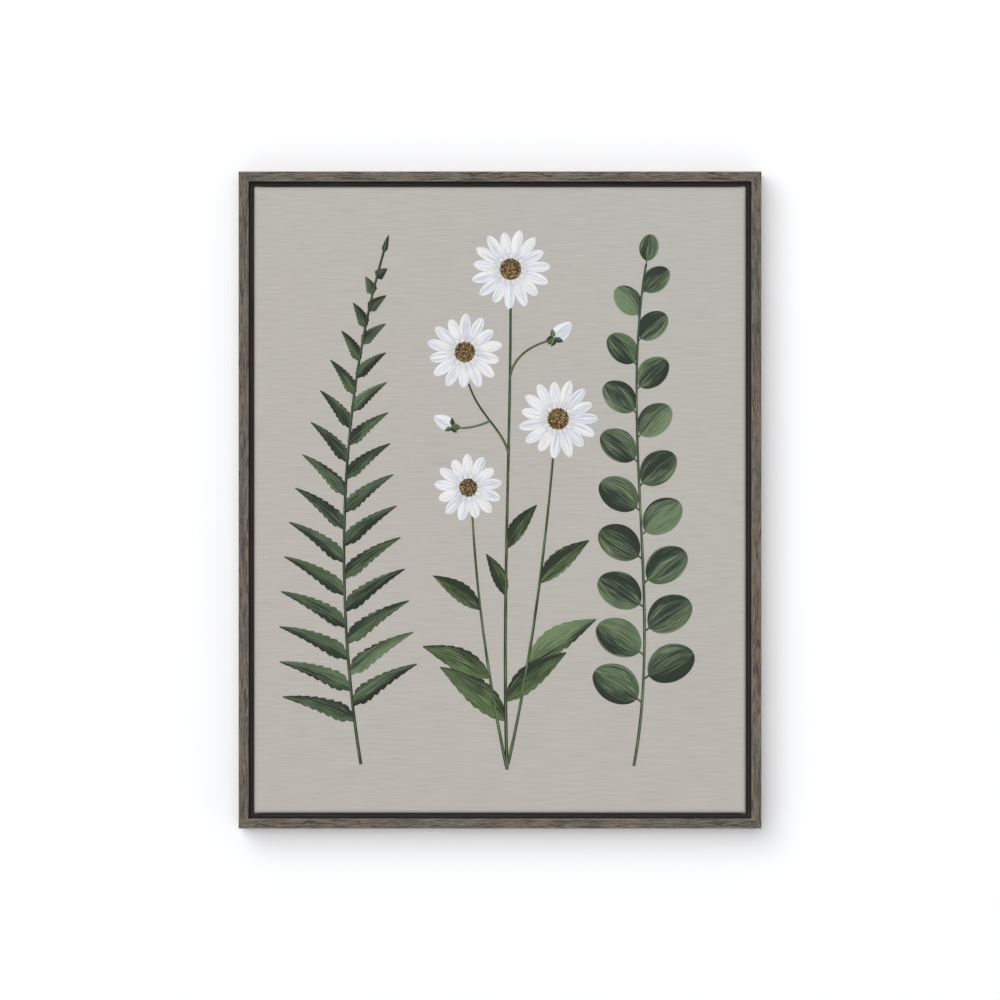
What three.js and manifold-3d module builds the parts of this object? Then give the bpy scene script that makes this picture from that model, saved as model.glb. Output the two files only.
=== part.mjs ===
// A canvas picture in a narrow floater frame: mitred L-shaped rails carry a stretched canvas
// on their ledge, with a dark gap round it, and raised paint on the canvas.
// Millimetres, +Z up. The picture faces -Y and the wall behind it is the plane y = 0.
// The origin is the centre notch of the sawtooth hanger, where the wall hook bears.

import * as THREE from 'three';
import { mergeVertices } from 'three/addons/utils/BufferGeometryUtils.js';
import Module from 'manifold-3d';

const wasm = await Module();
wasm.setup();

// Driving dimensions

const CANVAS_WIDTH = 558.8;
const CANVAS_HEIGHT = 711.2;
const CANVAS_DEPTH = 28.6;
const CLOTH = 0.7;
const CANVAS_EDGE_RADIUS = 4;
const CANVAS_CORNER_RADIUS = 2.5;
const LEAST_CORNER_RADIUS = 0.8; // of the cloth's inner side
const FLAP = 33; // how far the cloth is folded onto the back of the bars
const PLEAT = { length: 22, thickness: 1.05 }; // the folded corner along the top and bottom edges

const FLOAT_GAP = 6.05;
const FACE = 11.3; // width of the wooden face of the frame
const FRAME_DEPTH = 38.1;
const LEDGE = 6.4; // thickness of the ledge that carries the canvas
const LEDGE_REACH = 26; // from the inner side of the frame's wall
const EASE = 0.9; // radius of the eased edges of the face
const MITRE_GAP = 0.2;
const CLEARANCE = 0.3; // round what is driven in, and between what rests together

const BAR_WIDTH = 44.5;
const BAR_BEAD = 6; // the raised outer bead that holds the canvas off the bar
const BAR_STEP = 2.5; // drop behind the bead
const BAR_SLOPE = 2.5; // further drop to the bar's inner side
const BRACE = { width: 38, depth: 16, tenonLength: 12, tenonWidth: 26, tenonDepth: 8 };

const BUMPER = { radius: 5, height: 3.2, ease: 0.6 };
const HANGER = {
  length: 89, tab: 12, joggle: 3, standoff: 1.4, thickness: 1, above: 11, teeth: 3.5,
  notches: 13, pitch: 4.5, notchWidth: 3.8, notchDepth: 3.7, drop: 32,
};
const NAIL = {
  headRadius: 2.3, crownRadius: 1.8, head: 0.9, radius: 0.9, length: 14, tip: 1.8, inset: 6, height: 5,
};
const SCREW = { headRadius: 3.6, crownRadius: 2.5, head: 2.2, radius: 1.7, length: 19, tip: 4 };
const SCREW_PLACES = { top: 170, right: 220, bottom: 170, left: 220 }; // from each rail's middle
const V_NAIL = { leg: 6, thickness: 0.6 };
const V_NAIL_PLACES = [{ inward: 2.6, depth: 10 }, { inward: 25, depth: 5 }];
const CORNER_STAPLE = { crown: 12, wire: 1.2, thickness: 0.8, leg: 10, inward: 39.5 };
const FLAP_STAPLE = { crown: 11, wire: 1.2, proud: 0.6, sunk: 0.35, inward: 27.5, tilt: 12 };
const FLAP_STAPLE_COUNTS = { top: 8, right: 10, bottom: 8, left: 10 };
const FLAP_STAPLE_MARGIN = 62; // from the canvas corner to the first staple

const ROUND_SIDES = 12;
const FLOWER_SIDES = 16;
const ARC_STEPS = 4;
const LEAF_STEPS = { pinna: 5, tip: 4, round: 6, daisy: 7, sepal: 3, petal: 3, bud: 6 };
const STEM_STEPS = { long: 10, daisy: 7 };

// Raised paint: heights of an edge and a ridge above the canvas
const LEAF_PAINT = { edge: 0.6, ridge: 1.1 };
const STEM_PAINT = { edge: 0.8, ridge: 1.3 };
const PETAL_PAINT = { edge: 0.8, ridge: 1.4 };
const CENTRE_PAINT = { edge: 1, ridge: 2.2 };

// The design, in millimetres from the canvas's middle, with x to the right and y up
const FERN = {
  stem: [[-158, -300], [-186, -130], [-188, 90], [-132, 282]],
  stemWidth: 3.6, pairs: 14, first: 0.1, last: 0.95, length: 132, least: 5, width: 25,
  openAngle: 70, closeAngle: 34, bend: 0.09, notch: 0.24, tip: { length: 20, width: 8 },
};
const EUCALYPTUS = {
  stem: [[152, -302], [186, -120], [134, 80], [166, 268]],
  stemWidth: 3.4, pairs: 9, first: 0.13, last: 0.94, length: 66, width: 44,
  openAngle: 64, closeAngle: 38, bend: 0.06, tip: { length: 34, width: 22 },
};
const DAISIES = [
  { x: 12, y: 262, radius: 46, petals: 15, turn: 4 },
  { x: -40, y: 168, radius: 44, petals: 14, turn: 11 },
  { x: 66, y: 92, radius: 46, petals: 15, turn: 0 },
  { x: -36, y: 14, radius: 39, petals: 13, turn: 8 },
];
const DAISY_CENTRE = 0.27; // share of the flower's radius
const CENTRE_DOME = [[0, 1], [0.55, 0.85], [0.88, 0.5], [1, 0]]; // [share of its radius, of its rise]
const PETAL_FORM = { fill: 0.66, shortReach: 0.93, bend: 0.02, heart: 5 };
const BUDS = [
  { x: 62, y: 184, angle: 42, length: 27, width: 19 },
  { x: -55, y: 84, angle: 152, length: 24, width: 17 },
];
const BUD_FOOT = 2; // from the bud's place to its own foot
const SEPAL = { turn: 26, length: 0.5, width: 0.42 }; // degrees apart, and shares of the bud's width
const DAISY_STEMS = [
  { points: [[8, -306], [2, -120], [12, 60], [12, 217]], width: 3.8 },
  { points: [[10, 52], [4, 78], [-22, 96], [-33, 125]], width: 3 },
  { points: [[9, -300], [34, -190], [50, -70], [60, 47]], width: 3.6 },
  { points: [[7, -302], [-14, -200], [-26, -110], [-31, -24]], width: 3.4 },
  { points: [[11, 138], [14, 162], [34, 176], [60, 182]], width: 2.8 },
  { points: [[-11, 90], [-24, 84], [-38, 80], [-53, 83]], width: 2.8 },
];
// Leaves of the daisies: which stem, how far along it, which side, length and opening angle
const DAISY_LEAVES = [
  { stem: 0, at: 0.1, side: 1, length: 96, angle: 50 },
  { stem: 0, at: 0.14, side: -1, length: 88, angle: 52 },
  { stem: 3, at: 0.34, side: 1, length: 84, angle: 56 },
  { stem: 2, at: 0.34, side: -1, length: 92, angle: 48 },
  { stem: 3, at: 0.62, side: 1, length: 66, angle: 48 },
  { stem: 2, at: 0.6, side: -1, length: 74, angle: 42 },
  { stem: 0, at: 0.46, side: -1, length: 60, angle: 34 },
  { stem: 0, at: 0.36, side: 1, length: 52, angle: 26 },
];
const DAISY_LEAF = { width: 0.33, bend: 0.1, notch: 0.2 }; // shares of its length, and of its width

// Sizes and places that follow

const OUTER_WIDTH = CANVAS_WIDTH + 2 * (FLOAT_GAP + FACE);
const OUTER_HEIGHT = CANVAS_HEIGHT + 2 * (FLOAT_GAP + FACE);
const CENTRE_Z = HANGER.drop - OUTER_HEIGHT / 2;
const FRAME_BACK = -BUMPER.height;
const FRAME_FRONT = FRAME_BACK - FRAME_DEPTH;
const LEDGE_FRONT = FRAME_BACK - LEDGE;
const CANVAS_BACK = LEDGE_FRONT - CLEARANCE;
const CANVAS_FRONT = CANVAS_BACK - CANVAS_DEPTH;
const BAR_BACK = CANVAS_BACK - CLOTH - CLEARANCE;
const BAR_FRONT = CANVAS_FRONT + CLOTH + CLEARANCE;
const BAR_INSET = CLOTH + CLEARANCE; // from the canvas's edge to the bar
const CANVAS_INSET = FACE + FLOAT_GAP; // from the frame's outer edge to the canvas's
const LEDGE_MIDDLE = (CANVAS_INSET + FACE + LEDGE_REACH) / 2;
const SIDES = ['top', 'right', 'bottom', 'left'];

// Materials

const finish = (color, roughness, metalness = 0) =>
  new THREE.MeshStandardMaterial({ color, roughness, metalness });

const WOOD = finish(0x696258, 0.62);
const PINE = finish(0xc9ab7c, 0.75);
const LINEN = finish(0xbbb8b0, 0.9);
const STEEL = finish(0xa9abad, 0.35, 1);
const BRASSED = finish(0xb59a5a, 0.38, 1);
const RUBBER = finish(0x4a4a4a, 0.85);
const FERN_GREEN = finish(0x33503c, 0.55);
const STEM_GREEN = finish(0x5d7d4c, 0.55);
const GREY_GREEN = finish(0x4d6f5c, 0.55);
const PETAL_WHITE = finish(0xe6e4df, 0.5);
const CENTRE_GOLD = finish(0x8a6a2c, 0.6);

// Solids

function toSolid(geometry) {
  geometry.deleteAttribute('normal');
  geometry.deleteAttribute('uv');
  const welded = mergeVertices(geometry, 1e-4);
  return new wasm.Manifold(new wasm.Mesh({
    numProp: 3,
    vertProperties: new Float32Array(welded.attributes.position.array),
    triVerts: new Uint32Array(welded.index.array),
  }));
}

function toGeometry(solid) {
  const made = solid.getMesh();
  const geometry = new THREE.BufferGeometry();
  geometry.setAttribute('position', new THREE.BufferAttribute(made.vertProperties, 3));
  geometry.setIndex(new THREE.BufferAttribute(made.triVerts, 1));
  geometry.computeVertexNormals();
  return geometry;
}

const join = (solids) => solids.reduce((whole, next) => whole.add(next));
const cut = (solid, tools) => tools.reduce((rest, tool) => rest.subtract(tool), solid);

function piece(name, solid, material) {
  const mesh = new THREE.Mesh(toGeometry(solid), material);
  mesh.name = name;
  return mesh;
}

// Rebuilds a geometry with every point sent through change(x, y, z) => [x, y, z].
function moved(geometry, change) {
  const position = geometry.attributes.position;
  for (let i = 0; i < position.count; i += 1) {
    position.setXYZ(i, ...change(position.getX(i), position.getY(i), position.getZ(i)));
  }
  return geometry;
}

// A closed body through rings of points, each ring anticlockwise about the way they follow.
function loft(rings) {
  const size = rings[0].length;
  const points = rings.flat(2);
  const faces = [];
  for (let r = 0; r + 1 < rings.length; r += 1) {
    for (let k = 0; k < size; k += 1) {
      const [a, b] = [r * size + k, r * size + ((k + 1) % size)];
      faces.push(a, b, b + size, a, b + size, a + size);
    }
  }
  const end = (rings.length - 1) * size;
  for (let k = 1; k + 1 < size; k += 1) {
    faces.push(0, k + 1, k, end, end + k, end + k + 1);
  }
  const geometry = new THREE.BufferGeometry();
  geometry.setAttribute('position', new THREE.Float32BufferAttribute(points, 3));
  geometry.setIndex(faces);
  return toSolid(geometry);
}

// An outline in the picture's plane, [x, z] points, made a slab from the depth `from` to `to`.
function slab(outline, from, to) {
  const shape = new THREE.Shape(outline.map(([x, z]) => new THREE.Vector2(x, z)));
  const geometry = new THREE.ExtrudeGeometry(shape, { depth: to - from, bevelEnabled: false });
  return toSolid(moved(geometry, (x, z, depth) => [x, -depth - from, z]));
}

const box = (low, high) => toSolid(new THREE.BoxGeometry(
  high[0] - low[0], high[1] - low[1], high[2] - low[2],
).translate((low[0] + high[0]) / 2, (low[1] + high[1]) / 2, (low[2] + high[2]) / 2));

// A turned body about a line square to the wall: [radius, y] points from axis to axis.
function turned(profile, x, z, sides = ROUND_SIDES) {
  const points = profile.map(([radius, y]) => new THREE.Vector2(radius, y));
  return toSolid(new THREE.LatheGeometry(points, sides)).translate([x, 0, z]);
}

const bore = (x, z, radius, from, to, sides = ROUND_SIDES) =>
  turned([[0, to], [radius, to], [radius, from], [0, from]], x, z, sides);

// A place on one side of the picture: along it, and inward from its outer edge.
function place(side, half, along, inward) {
  const out = half - inward;
  return { top: [along, out], right: [out, -along], bottom: [-along, -out], left: [-out, along] }[side];
}

const isLevel = (side) => side === 'top' || side === 'bottom';

// A bar with mitred ends, from a profile of [inward, y] points, on a rectangle's given side.
function mitredBar(side, width, height, profile, gap) {
  const [length, half] = isLevel(side) ? [width, height / 2] : [height, width / 2];
  const shape = new THREE.Shape(profile.map(([inward, y]) => new THREE.Vector2(inward, y)));
  const geometry = new THREE.ExtrudeGeometry(shape, { depth: 1, bevelEnabled: false });
  const trim = (gap / 2) * Math.SQRT2;
  return toSolid(moved(geometry, (inward, y, end) => {
    const along = (2 * end - 1) * (length / 2 - inward - trim);
    const [x, z] = place(side, half, along, inward);
    return [x, y, z];
  }));
}

// Points of a quarter circle round a centre, from one angle, in degrees, to another.
function arc(centre, radius, from, to) {
  return Array.from({ length: ARC_STEPS + 1 }, (_, k) => {
    const angle = THREE.MathUtils.degToRad(from + ((to - from) * k) / ARC_STEPS);
    return [centre[0] + radius * Math.cos(angle), centre[1] + radius * Math.sin(angle)];
  });
}

// Frame

const RAIL_PROFILE = [
  [0, FRAME_BACK],
  ...arc([EASE, FRAME_FRONT + EASE], EASE, 180, 270),
  ...arc([FACE - EASE, FRAME_FRONT + EASE], EASE, 270, 360),
  [FACE, LEDGE_FRONT],
  [FACE + LEDGE_REACH, LEDGE_FRONT],
  [FACE + LEDGE_REACH, FRAME_BACK],
];

function frameRail(side) {
  return mitredBar(side, OUTER_WIDTH, OUTER_HEIGHT, RAIL_PROFILE, MITRE_GAP);
}

// V-nails: the two legs of each lie in the two rails that meet, from the back face inwards.
const CORNERS = [[1, 1], [1, -1], [-1, -1], [-1, 1]];

function vNail([right, up], { inward, depth }, grow) {
  const half = V_NAIL.thickness / 2 + grow;
  const leg = V_NAIL.leg + grow;
  const outline = [[-half, -half], [leg, -half], [leg, half], [half, half], [half, leg], [-half, leg]];
  const placed = outline.map(([a, b]) => [
    right * (OUTER_WIDTH / 2 - inward - a),
    up * (OUTER_HEIGHT / 2 - inward - b),
  ]);
  return slab(placed, -FRAME_BACK - grow, -FRAME_BACK + depth + grow);
}

const V_NAILS = CORNERS.flatMap((corner) => V_NAIL_PLACES.map((spot) => [corner, spot]));

// Fixing screws, through the ledge and the folded cloth into the bars

const SCREW_SPOTS = SIDES.flatMap((side) => [-1, 1].map((end) => place(
  side,
  (isLevel(side) ? OUTER_HEIGHT : OUTER_WIDTH) / 2,
  end * SCREW_PLACES[side],
  LEDGE_MIDDLE,
)));

function fixingScrew([x, z]) {
  const top = FRAME_BACK + SCREW.head;
  return turned([
    [0, FRAME_BACK - SCREW.length],
    [SCREW.radius, FRAME_BACK - SCREW.length + SCREW.tip],
    [SCREW.radius, FRAME_BACK],
    [SCREW.headRadius, FRAME_BACK],
    [SCREW.headRadius, FRAME_BACK + SCREW.head / 2],
    [SCREW.crownRadius, top],
    [0, top],
  ], x, z);
}

const SCREW_HOLES = SCREW_SPOTS.map(([x, z]) => bore(
  x, z, SCREW.radius + CLEARANCE, FRAME_BACK + 1, FRAME_BACK - SCREW.length - CLEARANCE,
));

// Hanger: a plate raised in the middle, with a row of notches in its lower edge

const HANGER_NAIL_SPOTS = [-1, 1].map((end) => [end * (HANGER.length / 2 - NAIL.inset), NAIL.height]);

function hanger() {
  const [end, foot] = [HANGER.length / 2, HANGER.length / 2 - HANGER.tab];
  const rise = foot - HANGER.joggle;
  const [flat, raised] = [FRAME_BACK, FRAME_BACK + HANGER.standoff];
  const under = [[-end, flat], [-foot, flat], [-rise, raised], [rise, raised], [foot, flat], [end, flat]];
  const over = under.map(([x, y]) => [x, y + HANGER.thickness]).reverse();
  const shape = new THREE.Shape([...under, ...over].map(([x, y]) => new THREE.Vector2(x, y)));
  const height = HANGER.above + HANGER.teeth;
  const plate = new THREE.ExtrudeGeometry(shape, { depth: height, bevelEnabled: false });
  const half = HANGER.notchWidth / 2;
  const notches = Array.from({ length: HANGER.notches }, (_, k) => {
    const x = (k - (HANGER.notches - 1) / 2) * HANGER.pitch;
    const low = -HANGER.notchDepth;
    return slab([[x - half, low], [x + half, low], [x, 0]], -1, -FRAME_BACK);
  });
  const holes = HANGER_NAIL_SPOTS.map(([x, z]) =>
    bore(x, z, NAIL.radius + CLEARANCE, 1, FRAME_BACK - 1));
  return cut(toSolid(plate.translate(0, 0, -HANGER.teeth)), [...notches, ...holes]);
}

function hangerNail([x, z]) {
  const seat = FRAME_BACK + HANGER.thickness;
  return turned([
    [0, seat - NAIL.length],
    [NAIL.radius, seat - NAIL.length + NAIL.tip],
    [NAIL.radius, seat],
    [NAIL.headRadius, seat],
    [NAIL.crownRadius, seat + NAIL.head],
    [0, seat + NAIL.head],
  ], x, z);
}

const HANGER_NAIL_HOLES = HANGER_NAIL_SPOTS.map(([x, z]) => bore(
  x, z - CENTRE_Z, NAIL.radius + CLEARANCE, FRAME_BACK + 1, FRAME_BACK - NAIL.length,
));

// Bumpers, which stand the lower corners off the wall

const BUMPER_SPOTS = [-1, 1].map((end) => [
  end * (OUTER_WIDTH / 2 - (FACE + LEDGE_REACH) / 2),
  -OUTER_HEIGHT / 2 + (FACE + LEDGE_REACH) / 2,
]);

function bumper([x, z]) {
  return turned([
    [0, FRAME_BACK],
    [BUMPER.radius, FRAME_BACK],
    [BUMPER.radius - BUMPER.ease / 2, -BUMPER.ease],
    [BUMPER.radius - BUMPER.ease * 1.5, 0],
    [0, 0],
  ], x, z);
}

// Stretcher

const BAR_PROFILE = [
  [BAR_INSET, BAR_BACK],
  [BAR_INSET, BAR_FRONT],
  [BAR_INSET + BAR_BEAD, BAR_FRONT],
  [BAR_INSET + BAR_BEAD + BAR_STEP, BAR_FRONT + BAR_STEP],
  [BAR_INSET + BAR_WIDTH, BAR_FRONT + BAR_STEP + BAR_SLOPE],
  [BAR_INSET + BAR_WIDTH, BAR_BACK],
];

const BRACE_HALF_SPAN = CANVAS_WIDTH / 2 - BAR_INSET - BAR_WIDTH - CLEARANCE;
const BRACE_MIDDLE_Y = (BAR_BACK + BAR_FRONT + BAR_STEP + BAR_SLOPE) / 2;

// The brace's tenons, or with `grow` the mortises that take them.
function tenons(grow) {
  const reach = BRACE_HALF_SPAN + BRACE.tenonLength + grow;
  const [deep, wide] = [BRACE.tenonDepth / 2 + grow, BRACE.tenonWidth / 2 + grow];
  return box([-reach, BRACE_MIDDLE_Y - deep, -wide], [reach, BRACE_MIDDLE_Y + deep, wide]);
}

function brace() {
  const [deep, wide] = [BRACE.depth / 2, BRACE.width / 2];
  const body = box(
    [-BRACE_HALF_SPAN, BRACE_MIDDLE_Y - deep, -wide],
    [BRACE_HALF_SPAN, BRACE_MIDDLE_Y + deep, wide],
  );
  return body.add(tenons(0));
}

// Staples across the stretcher's mitres: a crown on the back face and two legs in the wood.
function stapleParts(grow) {
  const [half, wire] = [CORNER_STAPLE.crown / 2, CORNER_STAPLE.wire];
  const back = BAR_BACK + CORNER_STAPLE.thickness;
  const legs = [-1, 1].map((end) => {
    const x = end * (half - wire / 2);
    return box(
      [x - wire / 2 - grow, BAR_BACK - CORNER_STAPLE.leg - grow, -wire / 2 - grow],
      [x + wire / 2 + grow, back, wire / 2 + grow],
    );
  });
  const crown = box([-half, BAR_BACK, -wire / 2], [half, back, wire / 2]);
  return { legs, crown };
}

function atStretcherCorner(solid, [right, up]) {
  return solid.rotate([0, right * up * 45, 0]).translate([
    right * (CANVAS_WIDTH / 2 - CORNER_STAPLE.inward), 0,
    up * (CANVAS_HEIGHT / 2 - CORNER_STAPLE.inward),
  ]);
}

function cornerStaple(corner) {
  const { legs, crown } = stapleParts(0);
  return atStretcherCorner(join([crown, ...legs]), corner);
}

const CORNER_STAPLE_SLOTS = CORNERS.flatMap((corner) =>
  stapleParts(CLEARANCE).legs.map((leg) => atStretcherCorner(leg, corner)));

// Canvas: cloth over the front, round the edges and folded onto the back

// A rounded rectangle at one depth, drawn in from the canvas's outline.
function ring(inset, y) {
  const radius = Math.max(CANVAS_CORNER_RADIUS - inset, LEAST_CORNER_RADIUS);
  const [x, z] = [CANVAS_WIDTH / 2 - inset - radius, CANVAS_HEIGHT / 2 - inset - radius];
  return [[x, -z, -90], [x, z, 0], [-x, z, 90], [-x, -z, 180]].flatMap(([cx, cz, from]) =>
    arc([cx, cz], radius, from, from + 90).map(([px, pz]) => [px, y, pz]));
}

// The block that the cloth's outer side wraps, or with an inset its inner side.
function wrappedBlock(inset) {
  const front = CANVAS_FRONT + inset;
  const radius = CANVAS_EDGE_RADIUS - inset;
  const rings = [ring(inset, CANVAS_BACK - inset)];
  for (let k = 0; k <= ARC_STEPS; k += 1) {
    const angle = (Math.PI / 2) * (k / ARC_STEPS);
    rings.push(ring(inset + radius * (1 - Math.cos(angle)), front + radius * (1 - Math.sin(angle))));
  }
  return loft(rings);
}

// A bar fits inside the cloth, with its outer edge and corners rounded as the cloth is.
const stretcherBar = (side) =>
  mitredBar(side, CANVAS_WIDTH, CANVAS_HEIGHT, BAR_PROFILE, MITRE_GAP).intersect(wrappedBlock(BAR_INSET));

// The folded corners lie as triangles on the top and bottom edges.
function cornerPleat([right, up]) {
  const corner = CANVAS_WIDTH / 2 - CANVAS_CORNER_RADIUS;
  const edge = CANVAS_HEIGHT / 2;
  const profile = [
    [corner, CANVAS_BACK],
    [corner, CANVAS_FRONT + CANVAS_EDGE_RADIUS],
    [corner - PLEAT.length, CANVAS_BACK],
  ];
  const shape = new THREE.Shape(profile.map(([x, y]) => new THREE.Vector2(right * x, y)));
  const geometry = new THREE.ExtrudeGeometry(shape, { depth: PLEAT.thickness, bevelEnabled: false });
  const low = up > 0 ? edge - CLOTH / 2 : -edge - CLOTH;
  return toSolid(geometry.translate(0, 0, low));
}

// The crowns of the staples that hold the flaps, pressed into the cloth.
function flapStaples(side) {
  const [length, half] = isLevel(side)
    ? [CANVAS_WIDTH, CANVAS_HEIGHT / 2] : [CANVAS_HEIGHT, CANVAS_WIDTH / 2];
  const count = FLAP_STAPLE_COUNTS[side];
  const span = length - 2 * FLAP_STAPLE_MARGIN;
  return Array.from({ length: count }, (_, k) => {
    const [x, z] = place(side, half, span * (k / (count - 1) - 0.5), FLAP_STAPLE.inward);
    const [long, thin] = [FLAP_STAPLE.crown / 2, FLAP_STAPLE.wire / 2];
    const crown = box(
      [-long, CANVAS_BACK - FLAP_STAPLE.sunk, -thin],
      [long, CANVAS_BACK + FLAP_STAPLE.proud, thin],
    );
    const tilt = (k % 2 ? 1 : -1) * FLAP_STAPLE.tilt;
    return crown.rotate([0, (isLevel(side) ? 0 : 90) + tilt, 0]).translate([x, 0, z]);
  });
}

function canvas() {
  const [x, z] = [CANVAS_WIDTH / 2 - FLAP, CANVAS_HEIGHT / 2 - FLAP];
  const window = box([-x, CANVAS_BACK - CLOTH - 1, -z], [x, CANVAS_BACK + 1, z]);
  const tray = cut(wrappedBlock(0), [wrappedBlock(CLOTH), window]);
  const added = [...CORNERS.map(cornerPleat), ...SIDES.flatMap(flapStaples)];
  return cut(join([tray, ...added]), [...SCREW_HOLES, ...HANGER_NAIL_HOLES]);
}

// Raised paint

const onCanvas = (point, height) => [point.x, CANVAS_FRONT - height, point.y];
const vector = ([x, y]) => new THREE.Vector2(x, y);

// A blade along a line in the canvas's plane: a flat foot, two edges and a ridge between.
function blade(line, halfWidth, steps, { edge, ridge }) {
  const rings = [];
  for (let k = 0; k <= steps; k += 1) {
    const at = k / steps;
    const middle = line.getPoint(at);
    const along = line.getTangent(at);
    const across = new THREE.Vector2(-along.y, along.x).multiplyScalar(halfWidth(at));
    const [left, right] = [middle.clone().add(across), middle.clone().sub(across)];
    rings.push([
      onCanvas(left, 0), onCanvas(left, edge), onCanvas(middle, ridge),
      onCanvas(right, edge), onCanvas(right, 0),
    ]);
  }
  return loft(rings);
}

const stemLine = (points) => new THREE.CubicBezierCurve(...points.map(vector));
const stem = (line, width, steps) => blade(line, () => width / 2, steps, STEM_PAINT);

// A line that leaves a point at an angle in radians and bends to its left by a share.
function spray(from, angle, length, bend) {
  const along = new THREE.Vector2(Math.cos(angle), Math.sin(angle));
  const left = new THREE.Vector2(-along.y, along.x);
  const middle = from.clone().addScaledVector(along, length / 2).addScaledVector(left, length * bend);
  return new THREE.QuadraticBezierCurve(from, middle, from.clone().addScaledVector(along, length));
}

// A leaf's half width along it, as a share of its widest.
const PINNA = (at) => 0.06 + 0.94 * (1 - at ** 1.8) * Math.min(1, 0.3 + 4 * at);
const ROUND_LEAF = (at) => 0.05 + 0.95 * Math.sqrt(Math.max(0, Math.sin(Math.PI * (at - 0.12) / 0.88)));
const POINTED_LEAF = (at) => 0.05 + 0.95 * Math.sin(Math.PI * at ** 0.8);
const PETAL = (at) => 0.22 + 0.78 * Math.sin(Math.PI * Math.min(1, 0.1 + 0.86 * at) ** 1.35);
const BUD = (at) => 0.25 + 0.75 * Math.sin(Math.PI * (0.08 + 0.9 * at) ** 0.8);

function leaf(line, width, shape, steps, paint, notch = 0) {
  const toothed = (at) => 1 - notch * (Math.round(at * steps) % 2);
  return blade(line, (at) => (width / 2) * shape(at) * toothed(at), steps, paint);
}

const direction = (line, at) => {
  const along = line.getTangent(at);
  return Math.atan2(along.y, along.x);
};

// Leaves in pairs up a stem: they open wide at its foot and close towards its tip.
function pairedLeaves(plan, line, lengthAt, draw) {
  const leaves = [];
  for (let k = 0; k < plan.pairs; k += 1) {
    for (const side of [1, -1]) {
      const share = (k + (side > 0 ? 0 : 0.5)) / (plan.pairs - 0.5);
      const at = plan.first + (plan.last - plan.first) * share;
      const open = THREE.MathUtils.degToRad(plan.openAngle + (plan.closeAngle - plan.openAngle) * at);
      const angle = direction(line, at) + side * open;
      leaves.push(draw(spray(line.getPoint(at), angle, lengthAt(at), -side * plan.bend), at));
    }
  }
  return leaves;
}

function fern() {
  const line = stemLine(FERN.stem);
  const lengthAt = (at) => FERN.length * (1 - at) ** 0.85 * (at + 0.05) ** 0.22 + FERN.least;
  const pinnae = pairedLeaves(FERN, line, lengthAt, (path, at) =>
    leaf(path, FERN.width * (1 - 0.45 * at), PINNA, LEAF_STEPS.pinna, LEAF_PAINT, FERN.notch));
  const tip = spray(line.getPoint(1), direction(line, 1), FERN.tip.length, 0);
  const last = leaf(tip, FERN.tip.width, PINNA, LEAF_STEPS.tip, LEAF_PAINT);
  return join([stem(line, FERN.stemWidth, STEM_STEPS.long), last, ...pinnae]);
}

function eucalyptus() {
  const line = stemLine(EUCALYPTUS.stem);
  const shrink = (at) => 1 - 0.42 * at ** 1.5;
  const leaves = pairedLeaves(EUCALYPTUS, line, (at) => EUCALYPTUS.length * shrink(at), (path, at) =>
    leaf(path, EUCALYPTUS.width * shrink(at), ROUND_LEAF, LEAF_STEPS.round, LEAF_PAINT));
  const tip = spray(line.getPoint(1), direction(line, 1), EUCALYPTUS.tip.length, 0);
  const last = leaf(tip, EUCALYPTUS.tip.width, ROUND_LEAF, LEAF_STEPS.round, LEAF_PAINT);
  return join([stem(line, EUCALYPTUS.stemWidth, STEM_STEPS.long), last, ...leaves]);
}

// The green of the daisies: stems, toothed leaves and the sepals under the buds.
function daisyGreen() {
  const lines = DAISY_STEMS.map(({ points }) => stemLine(points));
  const stems = lines.map((line, k) => stem(line, DAISY_STEMS[k].width, STEM_STEPS.daisy));
  const leaves = DAISY_LEAVES.map(({ stem: k, at, side, length, angle }) => {
    const heading = direction(lines[k], at) + side * THREE.MathUtils.degToRad(angle);
    const path = spray(lines[k].getPoint(at), heading, length, -side * DAISY_LEAF.bend);
    const width = length * DAISY_LEAF.width;
    return leaf(path, width, POINTED_LEAF, LEAF_STEPS.daisy, LEAF_PAINT, DAISY_LEAF.notch);
  });
  const sepals = BUDS.flatMap(({ x, y, angle, width }) => [-1, 0, 1].map((turn) => {
    const heading = THREE.MathUtils.degToRad(angle + 180 + turn * SEPAL.turn);
    const path = spray(vector([x, y]), heading, width * SEPAL.length, 0);
    return leaf(path, width * SEPAL.width, POINTED_LEAF, LEAF_STEPS.sepal, STEM_PAINT);
  }));
  const heads = DAISIES.map(({ x, y, radius }) =>
    bore(x, y, radius + CLEARANCE, CANVAS_FRONT + 1, CANVAS_FRONT - CENTRE_PAINT.ridge, 3 * FLOWER_SIDES));
  return cut(join([...stems, ...leaves, ...sepals]), heads);
}

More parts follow.
